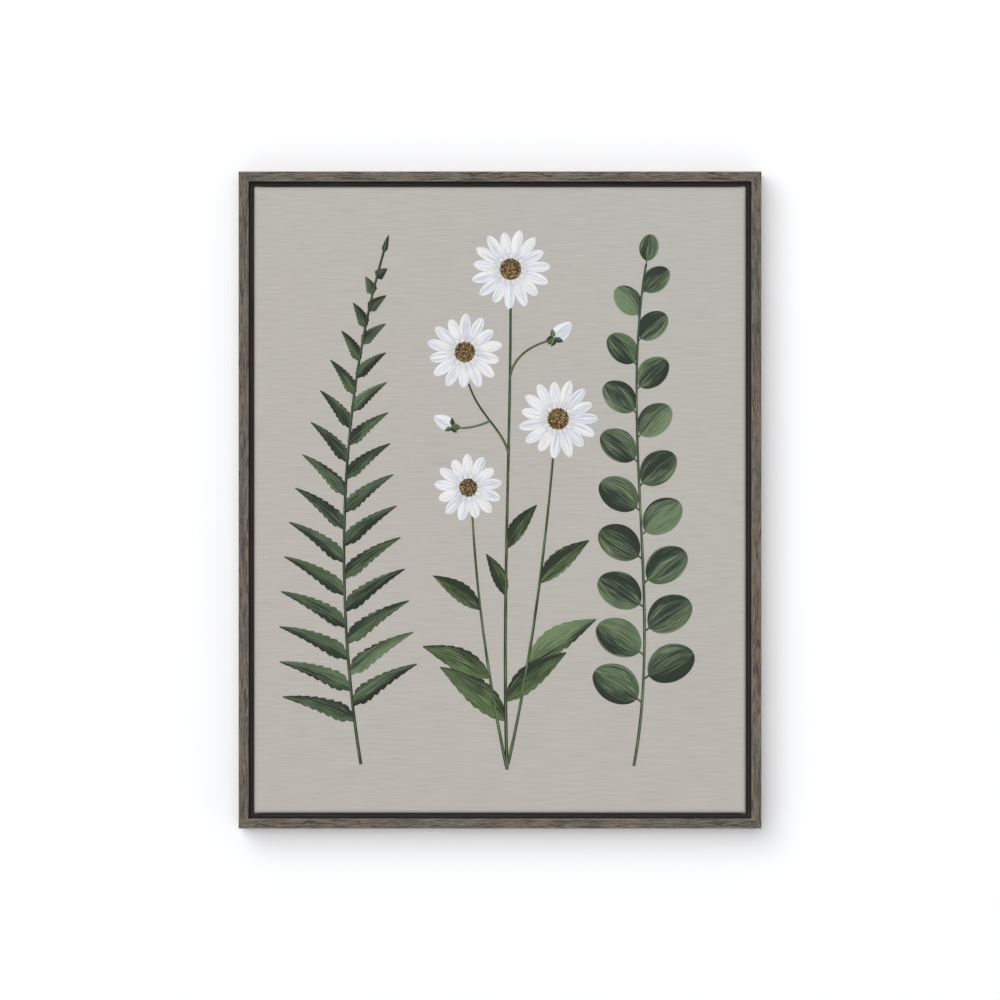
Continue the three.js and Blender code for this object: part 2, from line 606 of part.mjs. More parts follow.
function daisyPetals({ x, y, radius, petals, turn }) {
  const [inner, middle] = [radius * DAISY_CENTRE, vector([x, y])];
  const blades = Array.from({ length: petals }, (_, k) => {
    const angle = THREE.MathUtils.degToRad(turn + (360 * k) / petals);
    const along = new THREE.Vector2(Math.cos(angle), Math.sin(angle));
    const reach = radius * (k % 3 === 1 ? PETAL_FORM.shortReach : 1);
    const foot = middle.clone().addScaledVector(along, inner);
    const width = ((2 * Math.PI * radius) / petals) * PETAL_FORM.fill;
    const path = spray(foot, angle, reach - inner, PETAL_FORM.bend);
    return leaf(path, width, PETAL, LEAF_STEPS.petal, PETAL_PAINT);
  });
  const hub = inner + PETAL_FORM.heart;
  const heart = bore(x, y, hub, CANVAS_FRONT, CANVAS_FRONT - PETAL_PAINT.edge, FLOWER_SIDES);
  const [below, above] = [CANVAS_FRONT + 1, CANVAS_FRONT - CENTRE_PAINT.ridge];
  return cut(join([heart, ...blades]), [bore(x, y, inner + CLEARANCE, below, above, FLOWER_SIDES)]);
}

function daisyCentre({ x, y, radius }) {
  const { edge, ridge } = CENTRE_PAINT;
  const inner = radius * DAISY_CENTRE;
  const dome = CENTRE_DOME.map(([out, rise]) =>
    [inner * out, CANVAS_FRONT - edge - (ridge - edge) * rise]);
  return turned([...dome, [inner, CANVAS_FRONT], [0, CANVAS_FRONT]], x, y, FLOWER_SIDES);
}

function bud({ x, y, angle, length, width }) {
  const heading = THREE.MathUtils.degToRad(angle);
  const along = new THREE.Vector2(Math.cos(heading), Math.sin(heading));
  const foot = vector([x, y]).addScaledVector(along, BUD_FOOT);
  return leaf(spray(foot, heading, length, 0), width, BUD, LEAF_STEPS.bud, PETAL_PAINT);
}

// The picture, with its middle at the group's origin

const picture = new THREE.Group();
picture.position.z = CENTRE_Z;

const V_NAIL_SLOTS = V_NAILS.map(([corner, spot]) => vNail(corner, spot, CLEARANCE));
for (const side of SIDES) {
  const rail = cut(frameRail(side), [...SCREW_HOLES, ...V_NAIL_SLOTS, ...HANGER_NAIL_HOLES]);
  picture.add(piece(`frame_rail_${side}`, rail, WOOD));
}
V_NAILS.forEach(([corner, spot], k) => picture.add(piece(`v_nail_${k + 1}`, vNail(corner, spot, 0), STEEL)));

for (const side of SIDES) {
  const holes = [...SCREW_HOLES, ...HANGER_NAIL_HOLES, ...CORNER_STAPLE_SLOTS, tenons(CLEARANCE)];
  picture.add(piece(`stretcher_bar_${side}`, cut(stretcherBar(side), holes), PINE));
}
picture.add(piece('stretcher_brace', brace(), PINE));
CORNERS.forEach((corner, k) => picture.add(piece(`corner_staple_${k + 1}`, cornerStaple(corner), STEEL)));
picture.add(piece('canvas_sheet', canvas(), LINEN));
SCREW_SPOTS.forEach((spot, k) => picture.add(piece(`fixing_screw_${k + 1}`, fixingScrew(spot), STEEL)));
BUMPER_SPOTS.forEach((spot, k) => picture.add(piece(`bumper_${k + 1}`, bumper(spot), RUBBER)));

picture.add(piece('paint_fern', fern(), FERN_GREEN));
picture.add(piece('paint_eucalyptus', eucalyptus(), GREY_GREEN));
picture.add(piece('paint_daisy_green', daisyGreen(), STEM_GREEN));
DAISIES.forEach((flower, k) => {
  picture.add(piece(`paint_petals_${k + 1}`, daisyPetals(flower), PETAL_WHITE));
  picture.add(piece(`paint_centre_${k + 1}`, daisyCentre(flower), CENTRE_GOLD));
});
BUDS.forEach((each, k) => picture.add(piece(`paint_bud_${k + 1}`, bud(each), PETAL_WHITE)));

const hanging = new THREE.Group();
hanging.add(piece('sawtooth_hanger', hanger(), BRASSED));
HANGER_NAIL_SPOTS.forEach((spot, k) => hanging.add(piece(`hanger_nail_${k + 1}`, hangerNail(spot), STEEL)));

const group = new THREE.Group();
group.add(picture, hanging);

export default group;
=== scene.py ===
"""The looks of a canvas picture in a narrow floater frame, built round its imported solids.

Metres, +Z up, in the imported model's own frame. The picture faces -Y, the wall is the plane
y = 0, and the origin is the centre notch of the sawtooth hanger.
"""

import logging
from dataclasses import dataclass
from enum import Enum
from math import atan2, cos, dist, exp, pi, radians, sin, sqrt
from typing import Callable, Iterable, Sequence

import bmesh
import bpy
from mathutils import Matrix, Vector, noise


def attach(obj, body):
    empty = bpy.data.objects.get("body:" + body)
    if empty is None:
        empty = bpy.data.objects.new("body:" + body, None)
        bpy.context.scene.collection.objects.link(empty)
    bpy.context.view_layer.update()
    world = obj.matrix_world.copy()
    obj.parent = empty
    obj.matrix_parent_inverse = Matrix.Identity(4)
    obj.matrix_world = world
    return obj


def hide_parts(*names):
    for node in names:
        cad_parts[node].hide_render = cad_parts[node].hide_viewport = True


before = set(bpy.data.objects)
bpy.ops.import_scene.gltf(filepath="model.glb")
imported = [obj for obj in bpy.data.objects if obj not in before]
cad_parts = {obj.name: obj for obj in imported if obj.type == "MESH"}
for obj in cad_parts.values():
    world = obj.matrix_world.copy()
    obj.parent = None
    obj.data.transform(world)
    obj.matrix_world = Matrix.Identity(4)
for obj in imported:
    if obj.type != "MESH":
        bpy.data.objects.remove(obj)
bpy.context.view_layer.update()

log = logging.getLogger("canvas_picture")

Point = tuple[float, float]
Corner = tuple[int, Point]
Colour = tuple[float, float, float, float]
Piece = bpy.types.Object

MM = 0.001
BODY = "root"
SURFACE = "Surface"  # the UV map of every piece
FACTS = ("reach", "breadth", "tone")  # what a painted stroke's points carry
FRONT_LIGHT = 1.24  # how much light a surface that faces the camera gets


# Sizes


@dataclass(frozen=True)
class Sizes:
    """The picture's sizes, as its solids have them."""

    canvas_width: float = 558.8 * MM
    canvas_height: float = 711.2 * MM
    canvas_depth: float = 28.6 * MM
    cloth: float = 0.7 * MM
    float_gap: float = 6.05 * MM
    face: float = 11.3 * MM
    frame_depth: float = 38.1 * MM
    ledge: float = 6.4 * MM
    ledge_reach: float = 26 * MM
    clearance: float = 0.3 * MM
    bumper: float = 3.2 * MM
    hanger_drop: float = 32 * MM

    # what follows from them: the whole width and height, and the height of the middle
    canvas: Point = (canvas_width, canvas_height)
    border: float = 2 * (float_gap + face)
    outer: Point = (canvas_width + border, canvas_height + border)
    centre_z: float = hanger_drop - outer[1] / 2

    # depths, on the Y axis
    frame_back: float = -bumper
    frame_front: float = frame_back - frame_depth
    ledge_front: float = frame_back - ledge  # the side that carries the canvas
    canvas_back: float = ledge_front - clearance
    canvas_front: float = canvas_back - canvas_depth
    bar_back: float = canvas_back - cloth - clearance
    bar_front: float = canvas_front + cloth + clearance


SIZE = Sizes()
CORNERS = ((1, 1), (1, -1), (-1, -1), (-1, 1))  # right and up, clockwise from the top right


class Side(Enum):
    """A side of the picture, seen from the front."""

    TOP = "top"
    RIGHT = "right"
    BOTTOM = "bottom"
    LEFT = "left"

    @property
    def level(self) -> bool:
        """Whether the side runs from left to right."""
        return self in (Side.TOP, Side.BOTTOM)

    def place(self, whole: Point, along: float, inward: float, y: float) -> Vector:
        """Gives a point on this side of a rectangle round the picture's middle.

        Args:
            whole: the rectangle's width and height.
            along: how far the point is along the side from its middle, clockwise.
            inward: how far it is inside the rectangle.
            y: its depth.

        Returns:
            The point.
        """
        out = whole[1 if self.level else 0] / 2 - inward
        x, up = {
            Side.TOP: (along, out), Side.RIGHT: (out, -along),
            Side.BOTTOM: (-along, -out), Side.LEFT: (-out, along),
        }[self]
        return Vector((x, y, up + SIZE.centre_z))


def seen(red: float, green: float, blue: float) -> Colour:
    """Gives the base colour that shows as a screen colour on a surface that faces the camera.

    Args:
        red: the screen colour's red, from 0 to 255.
        green: its green.
        blue: its blue.

    Returns:
        The linear colour.
    """
    levels = (level / 255 for level in (red, green, blue))
    linear = [x / 12.92 if x <= 0.04045 else ((x + 0.055) / 1.055) ** 2.4 for x in levels]
    return (linear[0] / FRONT_LIGHT, linear[1] / FRONT_LIGHT, linear[2] / FRONT_LIGHT, 1.0)


# Node trees


def maths(operation: str, last: bool = False) -> Callable[..., "Value"]:
    """Makes a method that adds a Math node.

    Args:
        operation: the node's operation.
        last: whether the value itself comes last, as in 1 - value.

    Returns:
        The method, whose arguments are the node's other numbers.
    """
    def method(value: "Value", *others: "Value | float") -> "Value":
        """Adds the Math node."""
        numbers = dict(enumerate((*others, value) if last else (value, *others)))
        return value.graph.node("ShaderNodeMath", {"operation": operation}, numbers)

    return method


@dataclass(frozen=True)
class Value:
    """An output socket of a node tree. Arithmetic on it adds Math nodes."""

    graph: "Graph"
    socket: bpy.types.NodeSocket

    __add__ = __radd__ = maths("ADD")
    __mul__ = __rmul__ = maths("MULTIPLY")
    __sub__, __rsub__ = maths("SUBTRACT"), maths("SUBTRACT", last=True)
    __truediv__, __rtruediv__ = maths("DIVIDE"), maths("DIVIDE", last=True)
    __pow__, __rpow__ = maths("POWER"), maths("POWER", last=True)
    __abs__ = maths("ABSOLUTE")
    sine, cosine, fraction = maths("SINE"), maths("COSINE"), maths("FRACT")
    least, most = maths("MINIMUM"), maths("MAXIMUM")
    over, under = maths("GREATER_THAN"), maths("LESS_THAN")

    def __neg__(self) -> "Value":
        """Turns the sign."""
        return self * -1.0

    def other(self, output: str) -> "Value":
        """Gives another output of the same node."""
        return Value(self.graph, self.socket.node.outputs[output])

    def smooth(self, low: float, high: float) -> "Value":
        """Rises smoothly from 0 at one value to 1 at another."""
        return self.graph.node(
            "ShaderNodeMapRange", {"interpolation_type": "SMOOTHSTEP"},
            {"Value": self, "From Min": low, "From Max": high},
        )


@dataclass(frozen=True)
class StrokePlace:
    """Where a point of a painted stroke is, as its shader reads it."""

    along: Value  # from 0 at the foot to 1 at the tip
    across: Value  # from -1 to 1
    far: Value  # metres from the foot
    off: Value  # metres from the middle line
    tone: Value  # from 0 to 1, one for each stroke

    def marks(
        self, along: float, across: float, apart: float, detail: float = 2.0, rough: float = 0.5,
    ) -> Value:
        """Gives brush marks.

        Args:
            along: how fast they change along the stroke.
            across: how fast they change across it.
            apart: how much they differ from stroke to stroke.
            detail: the noise's detail.
            rough: its roughness.

        Returns:
            Numbers round 0.5.
        """
        graph = self.tone.graph
        return graph.streaks(self.far * along, self.off * across, self.tone * apart, detail, rough)


class Graph:
    """A node tree that is written as Python expressions."""

    def __init__(self, tree: bpy.types.NodeTree) -> None:
        """Starts on a node tree."""
        self.tree = tree

    def node(
        self, kind: str, settings: dict[str, object] | None = None,
        inputs: dict[str | int, object] | None = None, output: str | int = 0,
    ) -> Value:
        """Adds a node.

        Args:
            kind: the node's type.
            settings: its settings, which are set first.
            inputs: a value, a link or a list of links for each socket, by name or number.
            output: the output that is wanted, by name or number.

        Returns:
            The output, which is empty for a node that has none.
        """
        made = self.tree.nodes.new(kind)
        for name, value in (settings or {}).items():
            setattr(made, name, value)
        for key, given in (inputs or {}).items():
            for value in given if isinstance(given, list) else [given]:
                if isinstance(value, Value):
                    self.tree.links.new(value.socket, made.inputs[key])
                else:
                    made.inputs[key].default_value = value
        return Value(self, made.outputs[output] if made.outputs else None)

    def vector(self, x: Value | float, y: Value | float, z: Value | float = 0.0) -> Value:
        """Joins three numbers into a vector."""
        return self.node("ShaderNodeCombineXYZ", inputs={0: x, 1: y, 2: z})

    def split(self, vector: Value) -> tuple[Value, Value, Value]:
        """Gives a vector's three numbers."""
        x = self.node("ShaderNodeSeparateXYZ", inputs={0: vector})
        return x, x.other("Y"), x.other("Z")

    def surface(self) -> tuple[Value, Value]:
        """Gives the two coordinates of the piece's own UV map."""
        return self.split(self.node("ShaderNodeUVMap", {"uv_map": SURFACE}))[:2]

    def attribute(self, name: str) -> Value:
        """Gives a number that the piece's points carry."""
        return self.node("ShaderNodeAttribute", {"attribute_name": name}, output="Fac")

    def spot(self) -> Value:
        """Gives the place on the object, in metres."""
        return self.node("ShaderNodeTexCoord", output="Object")

    def stroke(self) -> StrokePlace:
        """Reads where a point of a painted stroke is.

        Returns:
            Its place.
        """
        along, share = self.surface()
        across = share * 2.0 - 1.0
        reach, breadth, tone = (self.attribute(name) for name in FACTS)
        return StrokePlace(along, across, along * reach, across * breadth * 0.5, tone)

    def noise(
        self, place: Value, scale: float = 1.0, detail: float = 2.0, rough: float = 0.5,
    ) -> Value:
        """Adds a noise texture, which gives numbers round 0.5."""
        return self.node("ShaderNodeTexNoise", inputs={
            "Vector": place, "Scale": scale, "Detail": detail, "Roughness": rough,
        })

    def streaks(
        self, x: Value, y: Value, z: Value | float = 0.0, detail: float = 2.0, rough: float = 0.5,
    ) -> Value:
        """Adds noise over coordinates that are stretched each by its own factor."""
        return self.noise(self.vector(x, y, z), 1.0, detail, rough)

    def mix(self, share: Value | float, one: Value | Colour, two: Value | Colour) -> Value:
        """Mixes two colours."""
        return self.node("ShaderNodeMix", {"data_type": "RGBA"}, {0: share, 6: one, 7: two}, 2)

    def shape(self, thing: Value) -> Value:
        """Gives the mesh of an object, in a geometry tree."""
        return self.node("GeometryNodeObjectInfo", inputs={"Object": thing}, output="Geometry")

    def chance(self, seed: Value, low: Value | float = 0.0, high: Value | float = 1.0) -> Value:
        """Gives each point a number between two, in a geometry tree."""
        return self.node(
            "FunctionNodeRandomValue", {"data_type": "FLOAT"}, {2: low, 3: high, "Seed": seed}, 1,
        )

    def toned(self, points: Value, seed: Value) -> Value:
        """Gives each point a tone of its own, in a geometry tree."""
        return self.node(
            "GeometryNodeStoreNamedAttribute", {"data_type": "FLOAT", "domain": "POINT"},
            {"Geometry": points, "Name": "tone", "Value": self.chance(seed)},
        )

    def done(self, made: Value, finish: Value) -> None:
        """Ends a geometry tree with its material."""
        made = self.node("GeometryNodeSetMaterial", inputs={0: made, "Material": finish})
        self.node("NodeGroupOutput", inputs={0: made})


def emptied(owner: bpy.types.Material | bpy.types.World | bpy.types.Light) -> Graph:
    """Turns on a material's, a world's or a light's nodes and removes what is there.

    Args:
        owner: what has the nodes.

    Returns:
        Its empty node tree.
    """
    owner.use_nodes = True
    owner.node_tree.nodes.clear()
    return Graph(owner.node_tree)


# Finishes


@dataclass(frozen=True)
class Look:
    """What feeds a finish's shader."""

    colour: Value
    rough: Value | float
    relief: Value  # from 0 to 1
    depth: float  # how deep the relief is, in metres
    strength: float = 1.0  # how strongly it shows
    metal: Value | float = 0.0
    gloss: float = 0.5


@dataclass(frozen=True)
class Finish:
    """A procedural material. A kind of finish says what feeds the shader."""

    name: str

    def look(self, graph: Graph) -> Look:
        """Says what feeds the shader, in each kind of finish."""
        raise NotImplementedError

    def material(self) -> bpy.types.Material:
        """Gives the material, which is made the first time.

        Returns:
            The material.
        """
        if self.name in bpy.data.materials:
            return bpy.data.materials[self.name]
        made = bpy.data.materials.new(self.name)
        graph = emptied(made)
        look = self.look(graph)
        shader = graph.node("ShaderNodeBsdfPrincipled", inputs={
            "Base Color": look.colour, "Roughness": look.rough, "Metallic": look.metal,
            "Specular IOR Level": look.gloss,
            "Normal": graph.node("ShaderNodeBump", inputs={
                "Height": look.relief, "Distance": look.depth, "Strength": look.strength,
            }),
        })
        graph.node("ShaderNodeOutputMaterial", inputs={"Surface": shader})
        return made


@dataclass(frozen=True)
class StainedWood(Finish):
    """Grey-brown stain on open grain that runs along the rail, worn pale at its edges."""

    edges: tuple[float, ...] = ()  # where the worn edges lie across the rail
    dark: Colour = seen(60, 53, 46)
    light: Colour = seen(127, 113, 99)
    cool: Colour = seen(116, 115, 104)
    worn: Colour = seen(140, 138, 130)

    def look(self, graph: Graph) -> Look:
        """Gives what feeds the shader.

        Args:
            graph: the material's nodes.

        Returns:
            The look.
        """
        along, across = graph.surface()
        drift = across + graph.streaks(along * 15.0, across * 50.0, 4.0) * 0.011
        broad = graph.streaks(along * 13.0, drift * 110.0)
        figure = graph.streaks(along * 50.0, drift * 640.0, 7.0, 4.0, 0.65)
        rings = graph.streaks(along * 6.0, drift * 210.0, 2.0, 1.0)
        ridges = abs(((rings * 11.0).fraction() - 0.5) * 2.0)
        pores = graph.streaks(along * 110.0, drift * 1200.0, 9.0).smooth(0.53, 0.66)
        speckle = graph.streaks(along * 190.0, drift * 900.0, 3.0)
        tone = figure * 0.48 + speckle * 0.26 + broad * 0.18 + ridges * 0.18
        patch = graph.streaks(along * 16.0, across * 60.0, 11.0)
        colour = graph.mix(patch.smooth(0.44, 0.58) * 0.7, self.light, self.cool)
        colour = graph.mix(tone.smooth(0.435, 0.625), self.dark, colour)
        colour = graph.mix(pores * 0.55, colour, self.dark)
        rubbed = 0.0
        for edge in self.edges:
            rubbed = (1.0 - abs(across - edge).smooth(0.3 * MM, 1.1 * MM)) + rubbed
        patchy = graph.streaks(along * 60.0, across * 300.0, 5.0, 3.0).smooth(0.36, 0.6)
        colour = graph.mix(rubbed * patchy * 0.55, colour, self.worn)
        relief = figure * 0.6 - pores * 0.7
        return Look(colour, 0.74 - figure * 0.16, relief, 0.12 * MM, 0.7, gloss=0.3)


@dataclass(frozen=True)
class ChannelBlack(Finish):
    """Satin black paint, brushed along the channel."""

    colour: Colour = (0.073, 0.069, 0.062, 1.0)
    rubbed: Colour = (0.125, 0.117, 0.105, 1.0)

    def look(self, graph: Graph) -> Look:
        """Gives what feeds the shader.

        Args:
            graph: the material's nodes.

        Returns:
            The look.
        """
        along, across = graph.surface()
        brush = graph.streaks(along * 14.0, across * 700.0, detail=3.0)
        colour = graph.mix(brush.smooth(0.35, 0.75), self.colour, self.rubbed)
        return Look(colour, 0.62 + brush * 0.2, brush, 0.05 * MM, 0.6, gloss=0.25)


@dataclass(frozen=True)
class PlanedSoftwood(Finish):
    """Pale planed softwood with growth rings, fine streaks and a few dark flecks."""

    pale: Colour = seen(214, 186, 142)
    late: Colour = seen(182, 143, 94)
    fleck: Colour = seen(128, 92, 56)
    grime: Colour = seen(150, 128, 100)

    def look(self, graph: Graph) -> Look:
        """Gives what feeds the shader.

        Args:
            graph: the material's nodes.

        Returns:
            The look.
        """
        along, across = graph.surface()
        sway = graph.streaks(along * 2.6, across * 20.0)
        rings = (across * 150.0 + sway * 9.0).fraction()
        fine = graph.streaks(along * 18.0, across * 900.0, 3.0, 3.0)
        flecks = graph.streaks(along * 160.0, across * 1500.0, 6.0, 1.0).smooth(0.68, 0.76)
        late = rings ** 4.0 * (1.0 - rings.smooth(0.94, 1.0))
        dirt = graph.noise(graph.spot(), 26.0, 4.0).smooth(0.55, 0.8)
        colour = graph.mix(late * 0.8 + fine * 0.25, self.pale, self.late)
        colour = graph.mix(flecks * 0.6, colour, self.fleck)
        colour = graph.mix(dirt * 0.35, colour, self.grime)
        return Look(colour, 0.72 - fine * 0.12, fine + late * 0.3, 0.1 * MM, 0.6)


@dataclass(frozen=True)
class PaintedGround(Finish):
    """The canvas's warm grey ground, brushed from side to side, with the weave under it and painted
    shade at its rim.
    """

    colour: Colour = seen(187, 184, 176)
    cool: Colour = seen(184, 184, 178)
    warm: Colour = seen(189, 184, 177)
    # the dark of the brush marks, and also the painted shade at the rim next to the frame
    edge: Colour = seen(160, 157, 150)
    bright: Colour = seen(206, 204, 197)
    primer: Colour = seen(216, 213, 204)
    painted: float = 36 * MM  # how far the paint goes round the edge
    weave: float = 1.15 * MM

    def look(self, graph: Graph) -> Look:
        """Gives what feeds the shader.

        Args:
            graph: the material's nodes.

        Returns:
            The look.
        """
        across, up = graph.surface()
        cloud = graph.streaks(across * 2.2, up * 3.0, detail=3.0)
        height = up / SIZE.canvas_height + across / SIZE.canvas_width * 0.5 + (cloud - 0.5) * 1.2
        colour = graph.mix(height.smooth(-0.35, 0.45), self.warm, self.colour)
        colour = graph.mix(height.smooth(0.1, 0.9) * 0.7, colour, self.cool)
        sweep = graph.streaks(across * 20.0, up * 560.0, 2.0, 3.0, 0.62)
        hair = graph.streaks(across * 38.0, up * 960.0, 8.0, 3.0)
        strokes = sweep * 0.5 + hair * 0.5
        colour = graph.mix(strokes.smooth(0.5, 0.68) * 0.42, colour, self.bright)
        colour = graph.mix((1.0 - strokes.smooth(0.34, 0.5)) * 0.34, colour, self.edge)
        inside = (SIZE.canvas_width / 2 - abs(across)).least(SIZE.canvas_height / 2 - abs(up))
        # Painted shade: the ground darkens over the front's outer 6 mm and all round the sides, as
        # the rounded rim does next to the frame.
        colour = graph.mix((1.0 - inside.smooth(-0.5 * MM, 6 * MM)) * 0.3, colour, self.edge)
        ragged = inside + self.painted + (cloud - 0.5) * 0.02 + (sweep - 0.5) * 0.006
        colour = graph.mix((-ragged).smooth(0.0, 2.5 * MM) * 0.9, colour, self.primer)
        turn = 2 * pi / self.weave
        relief = strokes * 0.75 + (across * turn).sine() * (up * turn).sine() * 0.06
        return Look(colour, 0.62 + hair * 0.16, relief, 0.16 * MM, 0.8, gloss=0.35)


@dataclass(frozen=True)
class RawCotton(Finish):
    """Unpainted cotton canvas: a plain weave with slubs."""

    thread: Colour = seen(222, 214, 197)
    gap: Colour = seen(178, 167, 146)
    weave: float = 1.15 * MM

    def look(self, graph: Graph) -> Look:
        """Gives what feeds the shader.

        Args:
            graph: the material's nodes.

        Returns:
            The look.
        """
        across, up = graph.surface()
        turn = 2 * pi / self.weave
        over = (across * turn).sine() * (up * turn).sine() * 0.5 + 0.5
        weft = graph.streaks(across * 60.0, up * 900.0)
        slubs = weft.most(graph.streaks(across * 900.0, up * 60.0, 4.0))
        cloud = graph.streaks(across * 12.0, up * 12.0, 9.0, 3.0)
        tone = over * 0.35 + slubs * 0.65 + (cloud - 0.5) * 0.5
        colour = graph.mix(tone.smooth(0.25, 0.7), self.gap, self.thread)
        return Look(colour, 0.9, over * 0.5 + slubs, 0.2 * MM, 0.8)


@dataclass(frozen=True)
class Metal(Finish):
    """Plated or bare metal with rolled streaks, dull patches and fine scratches."""

    colour: Colour = (0.5, 0.5, 0.5, 1.0)
    dull: Colour = (0.25, 0.25, 0.25, 1.0)
    rough: float = 0.35

    def look(self, graph: Graph) -> Look:
        """Gives what feeds the shader.

        Args:
            graph: the material's nodes.

        Returns:
            The look.
        """
        x, y, z = graph.split(graph.spot())
        patches = graph.noise(graph.spot(), 260.0, 6.0, 0.7)
        scratches = graph.streaks(x * 260.0, y * 900.0, z * 2600.0)
        colour = graph.mix(patches.smooth(0.4, 0.75) * 0.45, self.colour, self.dull)
        rough = patches * 0.25 + scratches * 0.1 + self.rough
        metal = 1.0 - patches.smooth(0.6, 0.8) * 0.2
        return Look(colour, rough, scratches, 0.02 * MM, 0.6, metal)


@dataclass(frozen=True)
class SoftRubber(Finish):
    """Grey moulded rubber with a dusty bloom."""

    colour: Colour = seen(66, 66, 66)
    dust: Colour = seen(112, 108, 102)

    def look(self, graph: Graph) -> Look:
        """Gives what feeds the shader.

        Args:
            graph: the material's nodes.

        Returns:
            The look.
        """
        grain = graph.noise(graph.spot(), 1800.0, 3.0)
        bloom = graph.noise(graph.spot(), 300.0).smooth(0.45, 0.7)
        colour = graph.mix(bloom * 0.4, self.colour, self.dust)
        return Look(colour, 0.7 + bloom * 0.2, grain, 0.03 * MM, 0.6)


@dataclass(frozen=True)
class LeafPaint(Finish):
    """Acrylic brushed along a leaf: one half darker, a pale vein and lighter dry streaks."""

    dark: Colour = seen(33, 41, 31)
    middle: Colour = seen(60, 80, 54)
    light: Colour = seen(116, 136, 104)
    vein: Colour = seen(104, 126, 92)
    wash: Colour = seen(120, 142, 106)  # a thin pale coat on a few of the leaves
    vein_width: float = 0.5 * MM

    def look(self, graph: Graph) -> Look:
        """Gives what feeds the shader.

        Args:
            graph: the material's nodes.

        Returns:
            The look.
        """
        at = graph.stroke()
        bristles = at.marks(30.0, 560.0, 40.0, 3.0, 0.6)
        hairs = at.marks(42.0, 1700.0, 70.0)
        patch = at.marks(20.0, 90.0, 23.0)
        side = (at.tone * 37.0).fraction().over(0.5) * 2.0 - 1.0
        shade = at.across * side * 0.13 + patch * 0.5 + bristles * 0.5 + (at.tone - 0.5) * 0.12
        colour = graph.mix(shade.smooth(0.43, 0.68), self.dark, self.middle)
        dry = hairs.smooth(0.47, 0.62) * (shade + 0.06).smooth(0.45, 0.6)
        colour = graph.mix(dry * 0.72, colour, self.light)
        thin = at.tone.smooth(0.76, 0.92) * shade.smooth(0.4, 0.7) * 0.8
        colour = graph.mix(thin, colour, self.wash)
        off = abs(at.off) / (1.0 - at.along * 0.7)
        line = 1.0 - off.smooth(self.vein_width * 0.4, self.vein_width * 1.3)
        colour = graph.mix(line * hairs.smooth(0.3, 0.55) * 0.75, colour, self.vein)
        rim = abs(at.across).smooth(0.86, 1.0)
        colour = graph.mix(rim * patch.smooth(0.5, 0.62) * 0.6, colour, self.light)
        relief = bristles * 0.6 + hairs * 0.4
        return Look(colour, 0.46 + bristles * 0.3, relief, 0.14 * MM, 0.8, gloss=0.2)


@dataclass(frozen=True)
class PetalPaint(Finish):
    """Thick white strokes over the ground, with lavender and cream left in the streaks."""

    white: Colour = seen(243, 243, 245)
    lavender: Colour = seen(200, 204, 217)
    cream: Colour = seen(232, 229, 214)
    foot: Colour = seen(186, 189, 190)
    ground: Colour = PaintedGround.colour

    def look(self, graph: Graph) -> Look:
        """Gives what feeds the shader.

        Args:
            graph: the material's nodes.

        Returns:
            The look.
        """
        at = graph.stroke()
        bristles = at.marks(26.0, 640.0, 40.0, 3.0, 0.6)
        hairs = at.marks(40.0, 1700.0, 70.0)
        wash = at.marks(34.0, 160.0, 23.0)
        side = abs(at.across)
        thick = (bristles * 0.7 + wash * 0.3).smooth(0.4, 0.57)
        colour = graph.mix(thick, self.lavender, self.white)
        warm = wash.smooth(0.5, 0.66) * hairs.smooth(0.4, 0.6)
        colour = graph.mix(warm * 0.8, colour, self.cream)
        foot = 1.0 - at.along.smooth(0.02, 0.34)
        colour = graph.mix(foot * bristles.smooth(0.3, 0.6) * 0.75, colour, self.foot)
        rim = side.smooth(0.6, 0.84) * (1.0 - side.smooth(0.86, 0.98))
        colour = graph.mix(rim * hairs.smooth(0.3, 0.5) * 0.8, colour, self.white)
        thin = side.smooth(0.84, 1.0).most(at.along.smooth(0.93, 1.0))
        colour = graph.mix(thin * bristles.smooth(0.36, 0.62) * 0.65, colour, self.ground)
        relief = bristles * 0.6 + hairs * 0.4
        return Look(colour, 0.45 + bristles * 0.25, relief, 0.2 * MM, 0.9, gloss=0.3)


@dataclass(frozen=True)
class StipplePaint(Finish):
    """Dabs of brown, ochre and gold in a flower's centre."""

    brown: Colour = seen(66, 50, 28)
    ochre: Colour = seen(128, 98, 54)
    gold: Colour = seen(178, 148, 86)
    pale: Colour = seen(205, 186, 140)

    def look(self, graph: Graph) -> Look:
        """Gives what feeds the shader.

        Args:
            graph: the material's nodes.

        Returns:
            The look.
        """
        grain = graph.noise(graph.spot(), 900.0, 3.0)
        mixed = graph.attribute("tone") + (grain - 0.5) * 0.5
        colour = graph.mix(mixed.smooth(0.2, 0.55), self.brown, self.ochre)
        colour = graph.mix(mixed.smooth(0.55, 0.8), colour, self.gold)
        colour = graph.mix(mixed.smooth(0.9, 1.05), colour, self.pale)
        return Look(colour, 0.45 + grain * 0.2, grain, 0.1 * MM, 0.7, gloss=0.3)


# Meshes


